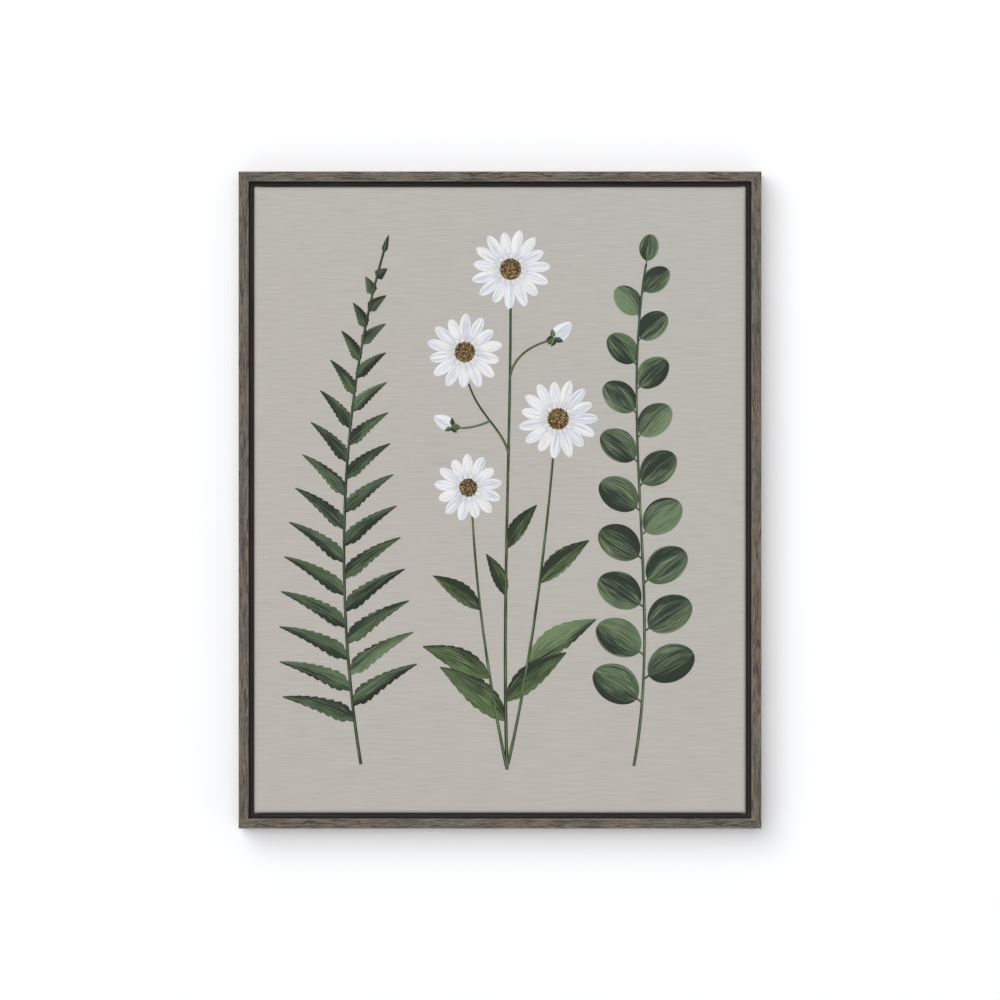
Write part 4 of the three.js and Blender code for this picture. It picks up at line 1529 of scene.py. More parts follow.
@dataclass
class Fixings:
    """Staples, V-nails, screws, the sawtooth hanger with its nails, and the bumpers."""

    repeats: Repeats
    steel: Metal = Metal("Zinc steel", (0.56, 0.57, 0.58, 1.0), (0.3, 0.3, 0.31, 1.0), 0.3)
    brass: Metal = Metal("Brassed plate", (0.62, 0.49, 0.24, 1.0), (0.36, 0.28, 0.15, 1.0), 0.28)
    flap_staple: Staple = Staple(crown=11 * MM, thick=0.7 * MM, proud=0.6 * MM, leg=8 * MM)
    flap_inward: float = 27.5 * MM
    flap_tilt: float = 12.0  # degrees, one way and then the other
    flap_free: float = 124 * MM  # the length of both ends of a side, which have no staples
    corner_staple: Staple = Staple(crown=12 * MM, thick=0.8 * MM, proud=0.8 * MM, leg=10 * MM)
    corner_inward: float = 39.5 * MM
    nail_inwards: Point = (2.6 * MM, 25 * MM)  # the V-nails' places on a mitre
    level_screw: float = 170 * MM  # from the middle of a side
    upright_screw: float = 220 * MM
    screw_turn: float = 0.83  # how far each recess is turned from the one before
    plate_nail: float = 38.5 * MM  # from the plate's middle
    plate: float = 1 * MM  # its thickness

    def flap_staples(self) -> Piece:
        """Builds and delivers the staples that hold the canvas's flaps.

        Returns:
            The staples.
        """
        spots = []
        for side in Side:
            count = 8 if side.level else 10
            length = SIZE.canvas[0 if side.level else 1]
            for k in range(count):
                along = (length - self.flap_free) * (k / (count - 1) - 0.5)
                place = side.place(SIZE.canvas, along, self.flap_inward, SIZE.canvas_back)
                tilt = radians(-self.flap_tilt if k % 2 else self.flap_tilt)
                spots.append(Spot(place, (0.0 if side.level else pi / 2) + tilt))
        return self.repeats.spread_out(
            "flap_staples", spots, self.flap_staple.shape("one_staple", self.steel), self.steel,
            "steel", ["canvas_sheet"], seed=3,
        )

    def corner_staples(self) -> None:
        """Builds and delivers the staples across the stretcher's mitres."""
        spots = []
        for corner in CORNERS:
            place = in_corner(SIZE.canvas, corner, self.corner_inward, SIZE.bar_back)
            spots.append(Spot(place, -corner[0] * corner[1] * pi / 4))
        self.repeats.spread_out(
            "corner_staples", spots, self.corner_staple.shape("one_staple", self.steel),
            self.steel, "steel", numbered("corner_staple", 4), seed=4,
        )

    def v_nails(self) -> None:
        """Builds and delivers the V-nails in the back of the frame's mitres."""
        half, leg, ends = 0.3 * MM, 6 * MM, (-5 * MM, 0.15 * MM)
        outline = (
            (-half, -half), (leg, -half), (leg, half), (half, half), (half, leg), (-half, leg),
        )
        skin = Skin()
        skin.tube([
            skin.row([Vector((x, y, z)) for x, z in outline], [*outline, outline[0]], closed=True)
            for y in ends
        ])
        spots = []
        for corner, heading in zip(CORNERS, (180, 90, 0, 270)):
            for inward in self.nail_inwards:
                place = in_corner(SIZE.outer, corner, inward, SIZE.frame_back)
                spots.append(Spot(place, radians(heading)))
        self.repeats.spread_out(
            "v_nails", spots, skin.build("one_v_nail", [self.steel]), self.steel, "steel",
            numbered("v_nail", 8), seed=5,
        )

    def recess(self, turn: float) -> Piece:
        """Builds what one arm of a screw's cross recess takes away.

        Args:
            turn: the arm's direction.

        Returns:
            A wedge, wider towards the screw's head.
        """
        arm = Skin()
        long = Vector((cos(turn), 0, sin(turn)))
        thin = Vector((-sin(turn), 0, cos(turn)))
        rows = []
        for y, reach, width in ((0.5 * MM, 0.7 * MM, 0.25 * MM), (3 * MM, 2.3 * MM, 0.6 * MM)):
            ring = [
                long * a * reach + thin * b * width + Vector((0, y, 0))
                for a, b in ((1, 1), (-1, 1), (-1, -1), (1, -1))
            ]
            rows.append(arm.row(ring, [(0.0, 0.0)] * 5, closed=True))
        arm.tube(rows)
        return arm.build("recess", [self.steel])

    def screws(self) -> None:
        """Builds and delivers the pan-head screws through the ledge, with cross recesses."""
        head, rise, shank = 3.6 * MM, 2.2 * MM, 1.7 * MM
        shape = turned("one_screw", [
            (0.0, -19 * MM), (shank * 0.5, -17 * MM), (shank, -15 * MM), (shank, 0.0),
            (head - 0.2 * MM, 0.0), (head, 0.35 * MM), (head - 0.15 * MM, rise * 0.45),
            (head * 0.82, rise * 0.8), (head * 0.55, rise * 0.97), (0.0, rise),
        ], sides=28, finish=self.steel)
        for turn in (0.0, pi / 2):
            cutter = self.recess(turn)
            cut = shape.modifiers.new("Recess", "BOOLEAN")
            cut.operation, cut.object, cut.solver = "DIFFERENCE", cutter, "EXACT"
            settled(shape)
            bpy.data.objects.remove(cutter)
        shape.data.set_sharp_from_angle(angle=radians(38))
        middle = (SIZE.face + SIZE.float_gap + SIZE.face + SIZE.ledge_reach) / 2
        spots = []
        for side in Side:
            along = self.level_screw if side.level else self.upright_screw
            for end in (-1, 1):
                place = side.place(SIZE.outer, end * along, middle, SIZE.frame_back)
                spots.append(Spot(place, len(spots) * self.screw_turn))
        self.repeats.spread_out(
            "ledge_screws", spots, shape, self.steel, "steel", numbered("fixing_screw", 8),
            seed=6,
        )

    def hanger(self) -> None:
        """Builds and delivers the sawtooth plate."""
        half, shoulder, foot, bridge = 44.5 * MM, 6 * MM, 32.5 * MM, 29.5 * MM
        above, teeth, pitch, notch, rise = 11 * MM, 3.5 * MM, 4.5 * MM, 1.9 * MM, 1.4 * MM
        stations = [(x, 0.0, -teeth) for x in (-half, -half + shoulder, -foot)]
        stations.append((-bridge, rise, -teeth))
        for x in (k * pitch for k in range(-6, 7)):
            stations += [(x - notch, rise, -teeth), (x, rise, 0.0), (x + notch, rise, -teeth)]
        stations += [(-x, y, low) for x, y, low in reversed(stations[:4])]
        skin, rows = Skin(), []
        for x, y, low in stations:
            levels = [low + (above - low) * share for share in (0.0, 0.35, 0.7, 1.0)]
            points = [Vector((x, SIZE.frame_back + y, z)) for z in levels]
            rows.append(skin.row(points, [(x, z) for z in levels]))
        skin.join(rows)
        plate = skin.build("hanger_plate", [self.brass])
        if plate.data.polygons[0].normal.y > 0:
            plate.data.flip_normals()
        thickened(plate, self.plate)
        soft = plate.modifiers.new("Eased", "BEVEL")
        soft.width, soft.segments, soft.angle_limit = 0.16 * MM, 2, radians(40)
        delivered(settled(plate), ["sawtooth_hanger"])

    def plate_nails(self) -> None:
        """Builds and delivers the two nails of the sawtooth plate."""
        seat, shank, head = SIZE.frame_back + self.plate, 0.9 * MM, 2.2 * MM
        shape = turned("one_nail", [
            (0.0, seat - 14 * MM), (shank, seat - 12.2 * MM), (shank, seat), (head, seat),
            (2.3 * MM, seat + 0.2 * MM), (head, seat + 0.5 * MM), (1.8 * MM, seat + 0.78 * MM),
            (1.0 * MM, seat + 0.9 * MM), (0.0, seat + 0.9 * MM),
        ], sides=24, finish=self.steel)
        spots = [Spot(Vector((end * self.plate_nail, 0.0, 5 * MM))) for end in (-1, 1)]
        self.repeats.spread_out(
            "plate_nails", spots, shape, self.steel, "steel", numbered("hanger_nail", 2), seed=7,
        )

    def bumpers(self) -> None:
        """Builds and delivers the two bumpers at the lower corners."""
        radius, height = 5 * MM, SIZE.bumper
        rubber = SoftRubber("Bumper rubber")
        shape = turned("one_bumper", [
            (0.0, -height), (radius - 0.2 * MM, -height), (radius, -height + 0.25 * MM),
            (radius, -1.0 * MM), (radius - 0.25 * MM, -0.45 * MM), (radius - 0.75 * MM, -0.1 * MM),
            (radius - 1.4 * MM, 0.0), (0.0, 0.0),
        ], sides=32, finish=rubber)
        inward = (SIZE.face + SIZE.ledge_reach) / 2
        spots = [Spot(in_corner(SIZE.outer, (end, -1), inward, 0.0)) for end in (-1, 1)]
        self.repeats.spread_out(
            "wall_bumpers", spots, shape, rubber, "rubber", numbered("bumper", 2), seed=8,
        )

    def build(self) -> Piece:
        """Builds and delivers all the fixings.

        Returns:
            The staples that hold the canvas's flaps.
        """
        self.corner_staples()
        self.v_nails()
        self.screws()
        self.hanger()
        self.plate_nails()
        self.bumpers()
        return self.flap_staples()


# The painting


def on_canvas(spot: Vector, height: float = 0.0) -> Vector:
    """Gives the point at a height above a spot of the canvas, from the picture's middle."""
    return Vector((spot.x, SIZE.canvas_front - height, spot.y + SIZE.centre_z))


def lift(number: int) -> float:
    """Gives a leaf's height over the canvas, so that leaves that cross don't share one."""
    return 0.2 * MM * ((number * 0.618) % 1.0)


@dataclass(frozen=True)
class Stem:
    """A painted stem: a cubic curve in the picture's plane, in millimetres from its middle."""

    points: tuple[Point, Point, Point, Point]
    width: float
    under: float = 0.0  # how far it runs on, flat, under the petals
    rim: float = 0.15
    crest: float = 1.1  # how high it stands, so that it lies over the leaves that it crosses
    sunk: float = 0.4
    taper: float = 0.3
    waver: float = 0.12

    def at(self, t: float) -> Vector:
        """Gives a point of the curve.

        Args:
            t: its share of the way.

        Returns:
            The point, in metres.
        """
        a, b, c, d = (Vector(p) for p in self.points)
        s = 1 - t
        return (a * s ** 3 + b * 3 * s * s * t + c * 3 * s * t * t + d * t ** 3) * MM

    def heading(self, t: float) -> float:
        """Gives the curve's direction, as an angle from the right."""
        way = self.at(min(t + 0.001, 1.0)) - self.at(max(t - 0.001, 0.0))
        return atan2(way.y, way.x)

    def draw(self, skin: Skin, tone: float, steps: int = 40) -> None:
        """Adds the stem's raised stroke to a mesh.

        Args:
            skin: the mesh.
            tone: the stroke's tone, from 0 to 1.
            steps: how many lengths it has.
        """
        shares = (-1.0, -0.8, -0.4, 0.0, 0.4, 0.8, 1.0)
        length = sum((self.at((k + 1) / steps) - self.at(k / steps)).length for k in range(steps))
        width = self.width * MM
        places = [(k / steps, self.at(k / steps), 1.0) for k in range(steps + 1)]
        if self.under:
            end, angle = self.at(1.0), self.heading(1.0)
            for reach in (min(2.0, self.under / 2) * MM, self.under * MM):
                way = Vector((cos(angle), sin(angle))) * reach
                places.append((1 + reach / length, end + way, 0.1))
        flat_shares = [(s + 1) / 2 for s in (*shares, 1.0, -1.0, -1.0)]
        rows = []
        for t, middle, rise in places:
            angle = self.heading(min(t, 1.0))
            out = Vector((-sin(angle), cos(angle)))
            drift = noise.noise(Vector((t * 14, tone * 9, 0)))
            half = width / 2 * (1 - self.taper * t) * (1 + self.waver * drift)
            ring = [
                (s, (self.rim + (self.crest - self.rim) * (1 - s * s) ** 0.6) * rise * MM)
                for s in shares
            ]
            ring += [(1.0, -self.sunk * MM), (-1.0, -self.sunk * MM)]
            rows.append(skin.row(
                [on_canvas(middle + out * half * s, height) for s, height in ring],
                [(t, flat) for flat in flat_shares], closed=True, facts=(length, width, tone),
            ))
        skin.tube(rows)


@dataclass(frozen=True)
class Stroke:
    """The raised shape of one painted leaf or petal, unit long and unit wide."""

    outline: Callable[[float], float]  # its half width along it, as a share of the widest
    guide: Callable[[float], float] | None = None  # the outline that its bristle marks follow
    along: int = 28
    across: int = 12
    rim: float = 0.14 * MM
    ridge: float = 0.75 * MM
    groove: float = 0.12 * MM
    groove_width: float = 0.09
    bristle: float = 0.09 * MM
    sunk: float = 0.4 * MM
    seed: float = 1.0
    fine_tip: bool = False  # whether the rows close up towards the tip

    def height(self, t: float, s: float) -> float:
        """Gives the paint's height.

        Args:
            t: the place along it, from 0 to 1.
            s: the place across it, from -1 to 1.

        Returns:
            The height.
        """
        swell = 0.45 + 0.55 * sin(pi * min(1.0, 0.12 + 0.8 * t))
        dome = (1 - abs(s) ** 2.6) ** 0.8 * swell
        broad = noise.noise(Vector((t * 3.0, s * 8.0, self.seed)))
        marks = broad + noise.noise(Vector((t * 7.0, s * 17.0, 4.0)))
        groove = self.groove * exp(-((s / self.groove_width) ** 2)) * (1 - t)
        fade = 1 - abs(s) ** 6
        return self.rim + (self.ridge - self.rim) * dome + (self.bristle * marks - groove) * fade

    def shape(self, name: str, finish: Finish) -> Piece:
        """Builds the shape.

        Args:
            name: the object's name.
            finish: its finish.

        Returns:
            The shape: along X, across Z, and raised towards -Y.
        """
        skin, rows = Skin(), []
        steps = [2 * k / self.across - 1 for k in range(self.across + 1)]
        shares = [sin(pi / 2 * step) for step in steps]
        for k in range(self.along + 1):
            t = k / self.along
            if self.fine_tip:
                t = sin(pi / 2 * t)
            half = self.outline(t) / 2
            share = self.outline(t) / self.guide(t) if self.guide else 1.0
            points = [Vector((t, -self.height(t, s), s * half)) for s in shares]
            rows.append(skin.row(points, [(t, (s * share + 1) / 2) for s in shares]))
        skin.join(rows)
        right, left = [row[-1] for row in rows[1:]], [row[0] for row in rows[-2:0:-1]]
        loop = rows[0] + right + rows[-1][-2::-1] + left
        foot = [Vector((skin.points[n].x, self.sunk, skin.points[n].z)) for n, _ in loop]
        flats = [flat for _, flat in loop]
        base = skin.row(foot, flats + flats[:1], closed=True)
        skin.join([loop + loop[:1], base])
        skin.face(base[:-1])
        return skin.build(name, [finish], sharp=70.0)


def toothed(
    outline: Callable[[float], float], teeth: float, depth: float,
) -> Callable[[float], float]:
    """Cuts teeth that point to the tip into a leaf's outline.

    Args:
        outline: the smooth outline.
        teeth: how many teeth a side has.
        depth: how deep they are, as a share of the half width.

    Returns:
        The toothed outline.
    """
    return lambda t: outline(t) * (1 - depth * ((t * teeth) % 1.0) ** 1.6 * (1 - t ** 6))


def pinna(t: float) -> float:
    """The outline of a fern's leaflet."""
    return 0.06 + 0.94 * (1 - t ** 1.8) * min(1.0, 0.3 + 4 * t)


def round_leaf(t: float) -> float:
    """The outline of a eucalyptus leaf, with a short stalk."""
    return 0.05 + 0.95 * sqrt(max(0.0, sin(pi * (t - 0.12) / 0.88)))


def pointed_leaf(t: float) -> float:
    """The outline of a daisy's leaf."""
    return 0.05 + 0.95 * sin(pi * t ** 0.8)


def petal(t: float) -> float:
    """The outline of a daisy's petal."""
    end = sqrt(max(0.0, 1 - (max(0.0, t - 0.86) / 0.14) ** 2))
    return end * (0.22 + 0.78 * sin(pi * min(1.0, 0.1 + 0.86 * t) ** 1.35))


def bud_outline(t: float) -> float:
    """The outline of a bud."""
    return 0.25 + 0.75 * sin(pi * (0.08 + 0.9 * t) ** 0.8)


@dataclass(frozen=True)
class PairedLeaves:
    """A stem whose leaves stand in pairs: wide open at its foot, closing towards its tip."""

    stem: Stem
    pairs: int
    first: float
    last: float
    open_angle: float
    close_angle: float
    bend: float
    size: Callable[[float], Point]  # a leaf's length and width at a share of the stem
    tip: Point  # those of the leaf at its end

    def spots(self) -> list[Spot]:
        """Sets the leaves out.

        Returns:
            Their places.
        """
        made, stem = [], self.stem
        for k in range(self.pairs):
            for side in (1, -1):
                share = (k + (0.0 if side > 0 else 0.5)) / (self.pairs - 0.5)
                at = self.first + (self.last - self.first) * share
                opened = radians(self.open_angle + (self.close_angle - self.open_angle) * at)
                length, width = self.size(at)
                made.append(Spot(
                    on_canvas(stem.at(at), lift(len(made))), stem.heading(at) + side * opened,
                    length * MM, width * MM, -side * self.bend,
                ))
        length, width = self.tip
        end = Spot(on_canvas(stem.at(1.0)), stem.heading(1.0), length * MM, width * MM)
        return [*made, end]


@dataclass(frozen=True)
class Daisy:
    """A daisy: its middle, radius, petals and turn."""

    x: float
    y: float
    radius: float
    petals: int
    turn: float


@dataclass(frozen=True)
class Bud:
    """A bud: its foot, direction, length and width."""

    x: float
    y: float
    angle: float
    length: float
    width: float


@dataclass
class Painting:
    """A fern, a eucalyptus sprig and daisies, as raised strokes on the canvas."""

    repeats: Repeats
    fern_stem: Stem = Stem(((-158, -300), (-186, -130), (-188, 90), (-132, 282)), 3.6)
    eucalyptus_stem: Stem = Stem(((152, -302), (186, -120), (134, 80), (166, 268)), 3.4)
    daisy_stems: tuple[Stem, ...] = (
        Stem(((8, -306), (2, -120), (12, 60), (12, 217)), 3.8, 16),
        Stem(((10, 52), (4, 78), (-22, 96), (-33, 125)), 3.0, 16),
        Stem(((9, -300), (34, -190), (50, -70), (60, 47)), 3.6, 16),
        Stem(((7, -302), (-14, -200), (-26, -110), (-31, -24)), 3.4, 14),
        Stem(((11, 138), (14, 162), (34, 176), (60, 182)), 2.8),
        Stem(((-11, 90), (-24, 84), (-38, 80), (-53, 83)), 2.8),
    )
    # stem, how far along it, side, length and opening angle
    daisy_leaves: tuple[tuple[int, float, int, float, float], ...] = (
        (0, 0.1, 1, 96, 50), (0, 0.14, -1, 88, 52), (3, 0.34, 1, 84, 56), (2, 0.34, -1, 92, 48),
        (3, 0.62, 1, 66, 48), (2, 0.6, -1, 74, 42), (0, 0.46, -1, 60, 34), (0, 0.36, 1, 52, 26),
    )
    leaf_bend: float = 0.1
    leaf_width: float = 0.33  # of its length
    sepal_turns: tuple[float, ...] = (154, 180, 206, 64, -64)
    sepal_length: float = 0.55  # of the bud's width
    sepal_width: float = 0.4
    daisies: tuple[Daisy, ...] = (
        Daisy(12, 262, 46, 15, 4), Daisy(-40, 168, 44, 14, 11), Daisy(66, 92, 46, 15, 0),
        Daisy(-36, 14, 39, 13, 8),
    )
    centre_share: float = 0.27
    petal_width: float = 0.66  # of its share of the daisy's rim
    short_petal: float = 0.93
    heart_margin: float = 5.0  # how far the disc under the petals passes the centre
    dabs: float = 700000.0  # to a square metre
    least_dab: float = 0.45 * MM
    most_dab: float = 1.05 * MM
    buds: tuple[Bud, ...] = (Bud(62, 184, 42, 27, 19), Bud(-55, 84, 152, 24, 17))
    bud_sunk: float = 1.5  # how far a bud reaches back over its stem

    def strokes(
        self, name: str, stems: Iterable[tuple[Stem, float]], spots: Sequence[Spot],
        stroke: Stroke, paint: Finish, slot: str, seed: int,
    ) -> None:
        """Paints stems with leaves on spots.

        Args:
            name: what they are.
            stems: each stem and its tone.
            spots: where the leaves go.
            stroke: a leaf.
            paint: their finish.
            slot: the record's material slot.
            seed: the seed of the leaves' tones.
        """
        skin = Skin()
        for stem, tone in stems:
            stem.draw(skin, tone)
        self.repeats.spread_out(
            f"{name}_strokes", spots, stroke.shape("one_leaf", paint), paint, slot,
            [f"paint_{name}"], seed, joined=skin.build("stems", [paint]),
        )

    def fern(self) -> None:
        """Paints the fern."""
        leaves = PairedLeaves(
            self.fern_stem, pairs=14, first=0.1, last=0.95, open_angle=70, close_angle=34,
            bend=0.09, tip=(20, 8),
            size=lambda at: (
                132 * (1 - at) ** 0.85 * (at + 0.05) ** 0.22 + 5, 25 * (1 - 0.45 * at),
            ),
        )
        self.strokes(
            "fern", [(leaves.stem, 0.4)], leaves.spots(),
            Stroke(toothed(pinna, 9, 0.3), pinna, along=45, seed=2.0),
            LeafPaint("Dark green paint"), "dark_green_paint", seed=11,
        )

    def eucalyptus(self) -> None:
        """Paints the eucalyptus."""
        paint = LeafPaint(
            "Grey green paint", dark=seen(36, 48, 36), middle=seen(72, 92, 66),
            light=seen(138, 156, 122), vein=seen(126, 146, 116), vein_width=0.6 * MM,
        )

        leaves = PairedLeaves(
            self.eucalyptus_stem, pairs=9, first=0.13, last=0.94, open_angle=64, close_angle=38,
            bend=0.06, tip=(34, 22),
            size=lambda at: (66 * (1 - 0.42 * at ** 1.5), 44 * (1 - 0.42 * at ** 1.5)),
        )
        self.strokes(
            "eucalyptus", [(leaves.stem, 0.5)], leaves.spots(),
            Stroke(round_leaf, along=44, across=16, seed=5.0, fine_tip=True),
            paint, "grey_green_paint", seed=12,
        )

    def daisy_greens(self) -> None:
        """Paints the daisies' stems, leaves and sepals."""
        paint = LeafPaint(
            "Leaf green paint", dark=seen(36, 47, 30), middle=seen(70, 92, 54),
            light=seen(128, 150, 104), vein=seen(120, 140, 98),
        )
        spots = []
        for number, at, side, length, angle in self.daisy_leaves:
            stem = self.daisy_stems[number]
            spots.append(Spot(
                on_canvas(stem.at(at), lift(len(spots))),
                stem.heading(at) + side * radians(angle),
                length * MM, length * self.leaf_width * MM, -side * self.leaf_bend,
            ))
        for bud in self.buds:
            place = on_canvas(Vector((bud.x, bud.y)) * MM, 0.3 * MM)
            for turn in self.sepal_turns:
                spots.append(Spot(
                    place, radians(bud.angle + turn), bud.width * self.sepal_length * MM,
                    bud.width * self.sepal_width * MM,
                ))
        self.strokes(
            "daisy_green", ((stem, 0.3 + 0.12 * k) for k, stem in enumerate(self.daisy_stems)),
            spots,
            Stroke(toothed(pointed_leaf, 8, 0.16), pointed_leaf, along=40, across=14, seed=7.0),
            paint, "light_green_paint", seed=13,
        )

    def heart(self, daisy: Daisy, radius: float, paint: Finish) -> Piece:
        """Builds the low disc of paint from which a daisy's petals start.

        Args:
            daisy: the daisy.
            radius: the disc's radius.
            paint: its finish.

        Returns:
            The disc.
        """
        sides, skin, rows = 32, Skin(), []
        angles = [2 * pi * n / sides for n in range(sides)]
        levels = ((0.0, 0.5), (0.6, 0.55), (0.92, 0.45), (1.0, 0.2), (1.0, -0.4), (0.0, -0.4))
        for share, height in levels:
            reach = radius * share
            ring = [
                Vector((daisy.x + reach * cos(a), daisy.y + reach * sin(a)))
                for a in angles
            ]
            rows.append(skin.row(
                [on_canvas(spot * MM, height * MM) for spot in ring],
                [(share * 0.3, n / sides) for n in range(sides + 1)],
                closed=True, facts=(radius * MM, radius * MM, 0.5),
            ))
        skin.join(rows)
        return skin.build("one_heart", [paint])

    def petals(self, daisy: Daisy, number: int, inner: float, paint: Finish) -> None:
        """Paints a daisy's petals.

        Args:
            daisy: the daisy.
            number: its number.
            inner: the radius at which they start.
            paint: their finish.
        """
        spots = []
        for k in range(daisy.petals):
            heading = radians(daisy.turn + 360 * k / daisy.petals)
            foot = Vector((
                daisy.x + inner * cos(heading), daisy.y + inner * sin(heading),
            ))
            reach = daisy.radius * (self.short_petal if k % 3 == 1 else 1.0) - inner
            width = 2 * pi * daisy.radius / daisy.petals * self.petal_width
            spots.append(Spot(
                on_canvas(foot * MM, 0.15 * MM * (k % 2)), heading, reach * MM, width * MM, 0.02,
            ))
        stroke = Stroke(
            petal, along=24, across=12, ridge=0.95 * MM, groove=0.0, bristle=0.15 * MM,
            seed=3.0 + number, fine_tip=True,
        )
        self.repeats.spread_out(
            f"daisy_petals_{number}", spots, stroke.shape("one_petal", paint), paint,
            "white_paint", [f"paint_petals_{number}"], seed=20 + number,
            joined=self.heart(daisy, inner + self.heart_margin, paint),
        )

    def centre(self, daisy: Daisy, number: int, radius: float, paint: Finish) -> None:
        """Paints a daisy's centre.

        Args:
            daisy: the daisy.
            number: its number.
            radius: the centre's radius.
            paint: its finish.
        """
        dome = (
            (0.0, -1.6), (0.45, -1.5), (0.75, -1.2), (0.93, -0.7), (1.0, -0.2), (1.0, 0.3),
            (0.0, 0.3),
        )
        profile = [(share * radius * MM, height * MM) for share, height in dome]
        base = turned(f"daisy_centre_{number}", profile, sides=32, finish=paint)
        base.data.transform(Matrix.Translation(on_canvas(Vector((daisy.x, daisy.y)) * MM)))
        dab = turned(
            "one_dab", [(0.0, -0.6), (0.65, -0.42), (1.0, 0.0), (0.0, 0.5)], sides=6, finish=paint,
        )
        self.repeats.stippled(
            base, dab, paint, self.dabs, self.least_dab, self.most_dab, seed=30 + number,
        )
        delivered(base, [f"paint_centre_{number}"])

    def bud(self, bud: Bud, number: int, paint: Finish) -> None:
        """Paints a bud.

        Args:
            bud: the bud.
            number: its number.
            paint: its finish.
        """
        heading = radians(bud.angle)
        foot = Vector((
            bud.x - self.bud_sunk * cos(heading), bud.y - self.bud_sunk * sin(heading),
        ))
        stroke = Stroke(
            bud_outline, along=24, across=14, ridge=1.1 * MM, groove=0.0, bristle=0.16 * MM,
            seed=8.0 + number, fine_tip=True,
        )
        self.repeats.spread_out(
            f"daisy_bud_{number}",
            [Spot(on_canvas(foot * MM), heading, bud.length * MM, bud.width * MM)],
            stroke.shape("one_bud", paint), paint, "white_paint", [f"paint_bud_{number}"],
            seed=40 + number,
        )

    def build(self) -> None:
        """Paints the whole design."""
        self.fern()
        self.eucalyptus()
        self.daisy_greens()
        white, gold = PetalPaint("White paint"), StipplePaint("Gold paint")
        for number, daisy in enumerate(self.daisies, 1):
            inner = daisy.radius * self.centre_share
            self.petals(daisy, number, inner, white)
            self.centre(daisy, number, inner, gold)
        for number, bud in enumerate(self.buds, 1):
            self.bud(bud, number, white)


# The studio


@dataclass(frozen=True)
class Sun:
    """A soft distant light."""

    name: str
    strength: float  # the light that a white surface square to it sends back
    spread: float  # the angle that it fills, in degrees
    towards: tuple[float, float, float]  # the way that its light goes

    def shine(self) -> bpy.types.Light:
        """Adds the light to the scene.

        Returns:
            Its data.
        """
        data = bpy.data.lights.new(self.name, "SUN")
        data.energy, data.angle = self.strength * pi, radians(self.spread)
        light = shown(bpy.data.objects.new(self.name, data))
        light.rotation_mode = "QUATERNION"
        light.rotation_quaternion = Vector(self.towards).to_track_quat("-Z", "Y")
        return data


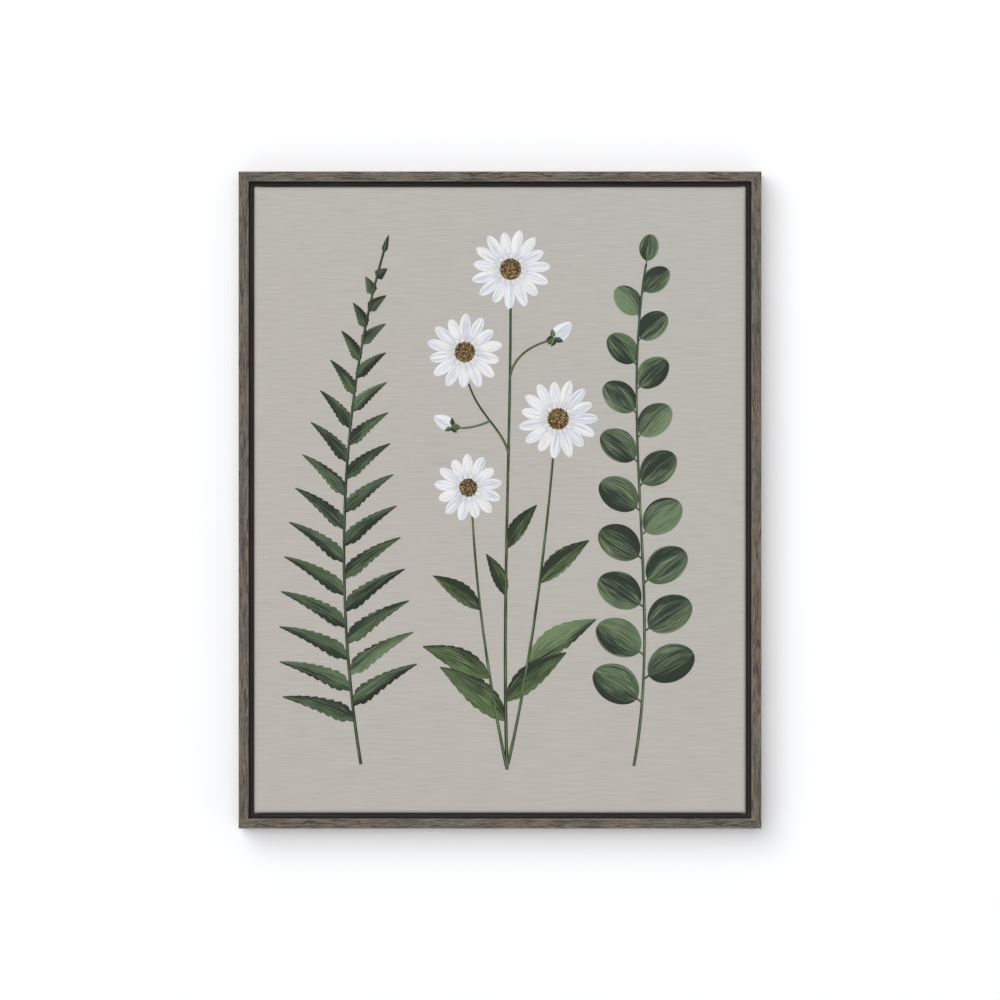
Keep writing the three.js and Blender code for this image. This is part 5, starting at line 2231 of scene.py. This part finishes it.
@dataclass
class Studio:
    """A white wall, a pale floor, soft light from the upper left and a square-on camera."""

    lens: float = 200.0
    sensor: float = 36.0
    view_share: float = 0.5229  # of the view's width that the frame fills
    wall_gap: float = 0.5 * MM
    wall_size: float = 2.2
    floor_size: float = 40.0
    floor_drop: float = 1.6
    ambient: float = 0.42
    front: Sun = Sun("Front light", 0.48, 32.0, (0.0, 1.0, 0.0))
    key: Sun = Sun("Key light", 0.45, 46.0, (0.5, 1.0, -0.55))
    # it passes through the wall, so what it lights sends none of it on
    back: Sun = Sun("Back light", 0.42, 40.0, (-0.5, -1.0, -0.7))
    white: Colour = (0.88, 0.884, 0.895, 1.0)

    def camera(self) -> None:
        """Sets the camera square to the picture's middle."""
        data = bpy.data.cameras.new("Camera")
        data.lens, data.sensor_width, data.clip_end = self.lens, self.sensor, 100.0
        away = SIZE.outer[0] / self.view_share * self.lens / self.sensor
        camera = shown(bpy.data.objects.new("Camera", data))
        camera.location = (0.0, SIZE.frame_front - away, SIZE.centre_z)
        camera.rotation_euler = (radians(90), 0.0, 0.0)
        bpy.context.scene.camera = camera

    def lights(self) -> None:
        """Adds the lights and the pale surroundings."""
        self.front.shine()
        self.key.shine()
        graph = emptied(self.back.shine())
        depth = graph.node("ShaderNodeLightPath", output="Diffuse Depth")
        glow = graph.node("ShaderNodeEmission", inputs={"Strength": 1.0 - depth.over(0.5)})
        graph.node("ShaderNodeOutputLight", inputs={"Surface": glow})
        world = bpy.data.worlds.new("Surroundings")
        bpy.context.scene.world = world
        graph = emptied(world)
        direct = graph.node("ShaderNodeLightPath", output="Is Camera Ray")
        glow = graph.node("ShaderNodeBackground", inputs={
            "Color": (1.0, 1.0, 1.0, 1.0),
            "Strength": direct * (1.0 - self.ambient) + self.ambient,
        })
        graph.node("ShaderNodeOutputWorld", inputs={"Surface": glow})

    def backdrop(
        self, name: str, corners: Sequence[tuple[float, float, float]], one_sided: bool = False,
    ) -> Piece:
        """Adds a flat white backdrop.

        Args:
            name: its name.
            corners: its four corners, anticlockwise from its front.
            one_sided: whether it is clear from behind.

        Returns:
            The backdrop.
        """
        mesh = bpy.data.meshes.new(name)
        mesh.from_pydata(corners, [], [(0, 1, 2, 3)])
        material = bpy.data.materials.new(name)
        graph = emptied(material)
        surface = graph.node("ShaderNodeBsdfDiffuse", inputs={"Color": self.white})
        if one_sided:
            behind = graph.node("ShaderNodeNewGeometry", output="Backfacing")
            clear = graph.node("ShaderNodeBsdfTransparent")
            surface = graph.node("ShaderNodeMixShader", inputs={0: behind, 1: surface, 2: clear})
        graph.node("ShaderNodeOutputMaterial", inputs={"Surface": surface})
        mesh.materials.append(material)
        made = shown(bpy.data.objects.new(name, mesh))
        return made

    def build(self) -> None:
        """Sets up the camera, the lights, the wall and the floor."""
        self.camera()
        self.lights()
        half, far = self.wall_size / 2, self.floor_size / 2
        low, top, y = SIZE.centre_z - self.floor_drop, SIZE.centre_z + half, self.wall_gap
        wall = self.backdrop(
            "Wall", [(-half, y, low), (half, y, low), (half, y, top), (-half, y, top)], True,
        )
        wall.visible_diffuse = wall.visible_glossy = wall.visible_shadow = False
        self.backdrop("Floor", [
            (-far, -far, low), (far, -far, low), (far, far, low), (-far, far, low),
        ])
        bpy.context.scene.view_settings.view_transform = "Standard"


def main() -> None:
    """Builds the picture and its surroundings."""
    logging.basicConfig(level=logging.INFO, format="%(name)s: %(message)s")
    Studio().build()
    FloaterFrame().build()
    bars = Stretcher().build()
    repeats = Repeats()
    staples = Fixings(repeats).build()
    CanvasCloth().build(bars, staples)
    Painting(repeats).build()


if __name__ == "__main__":
    main()
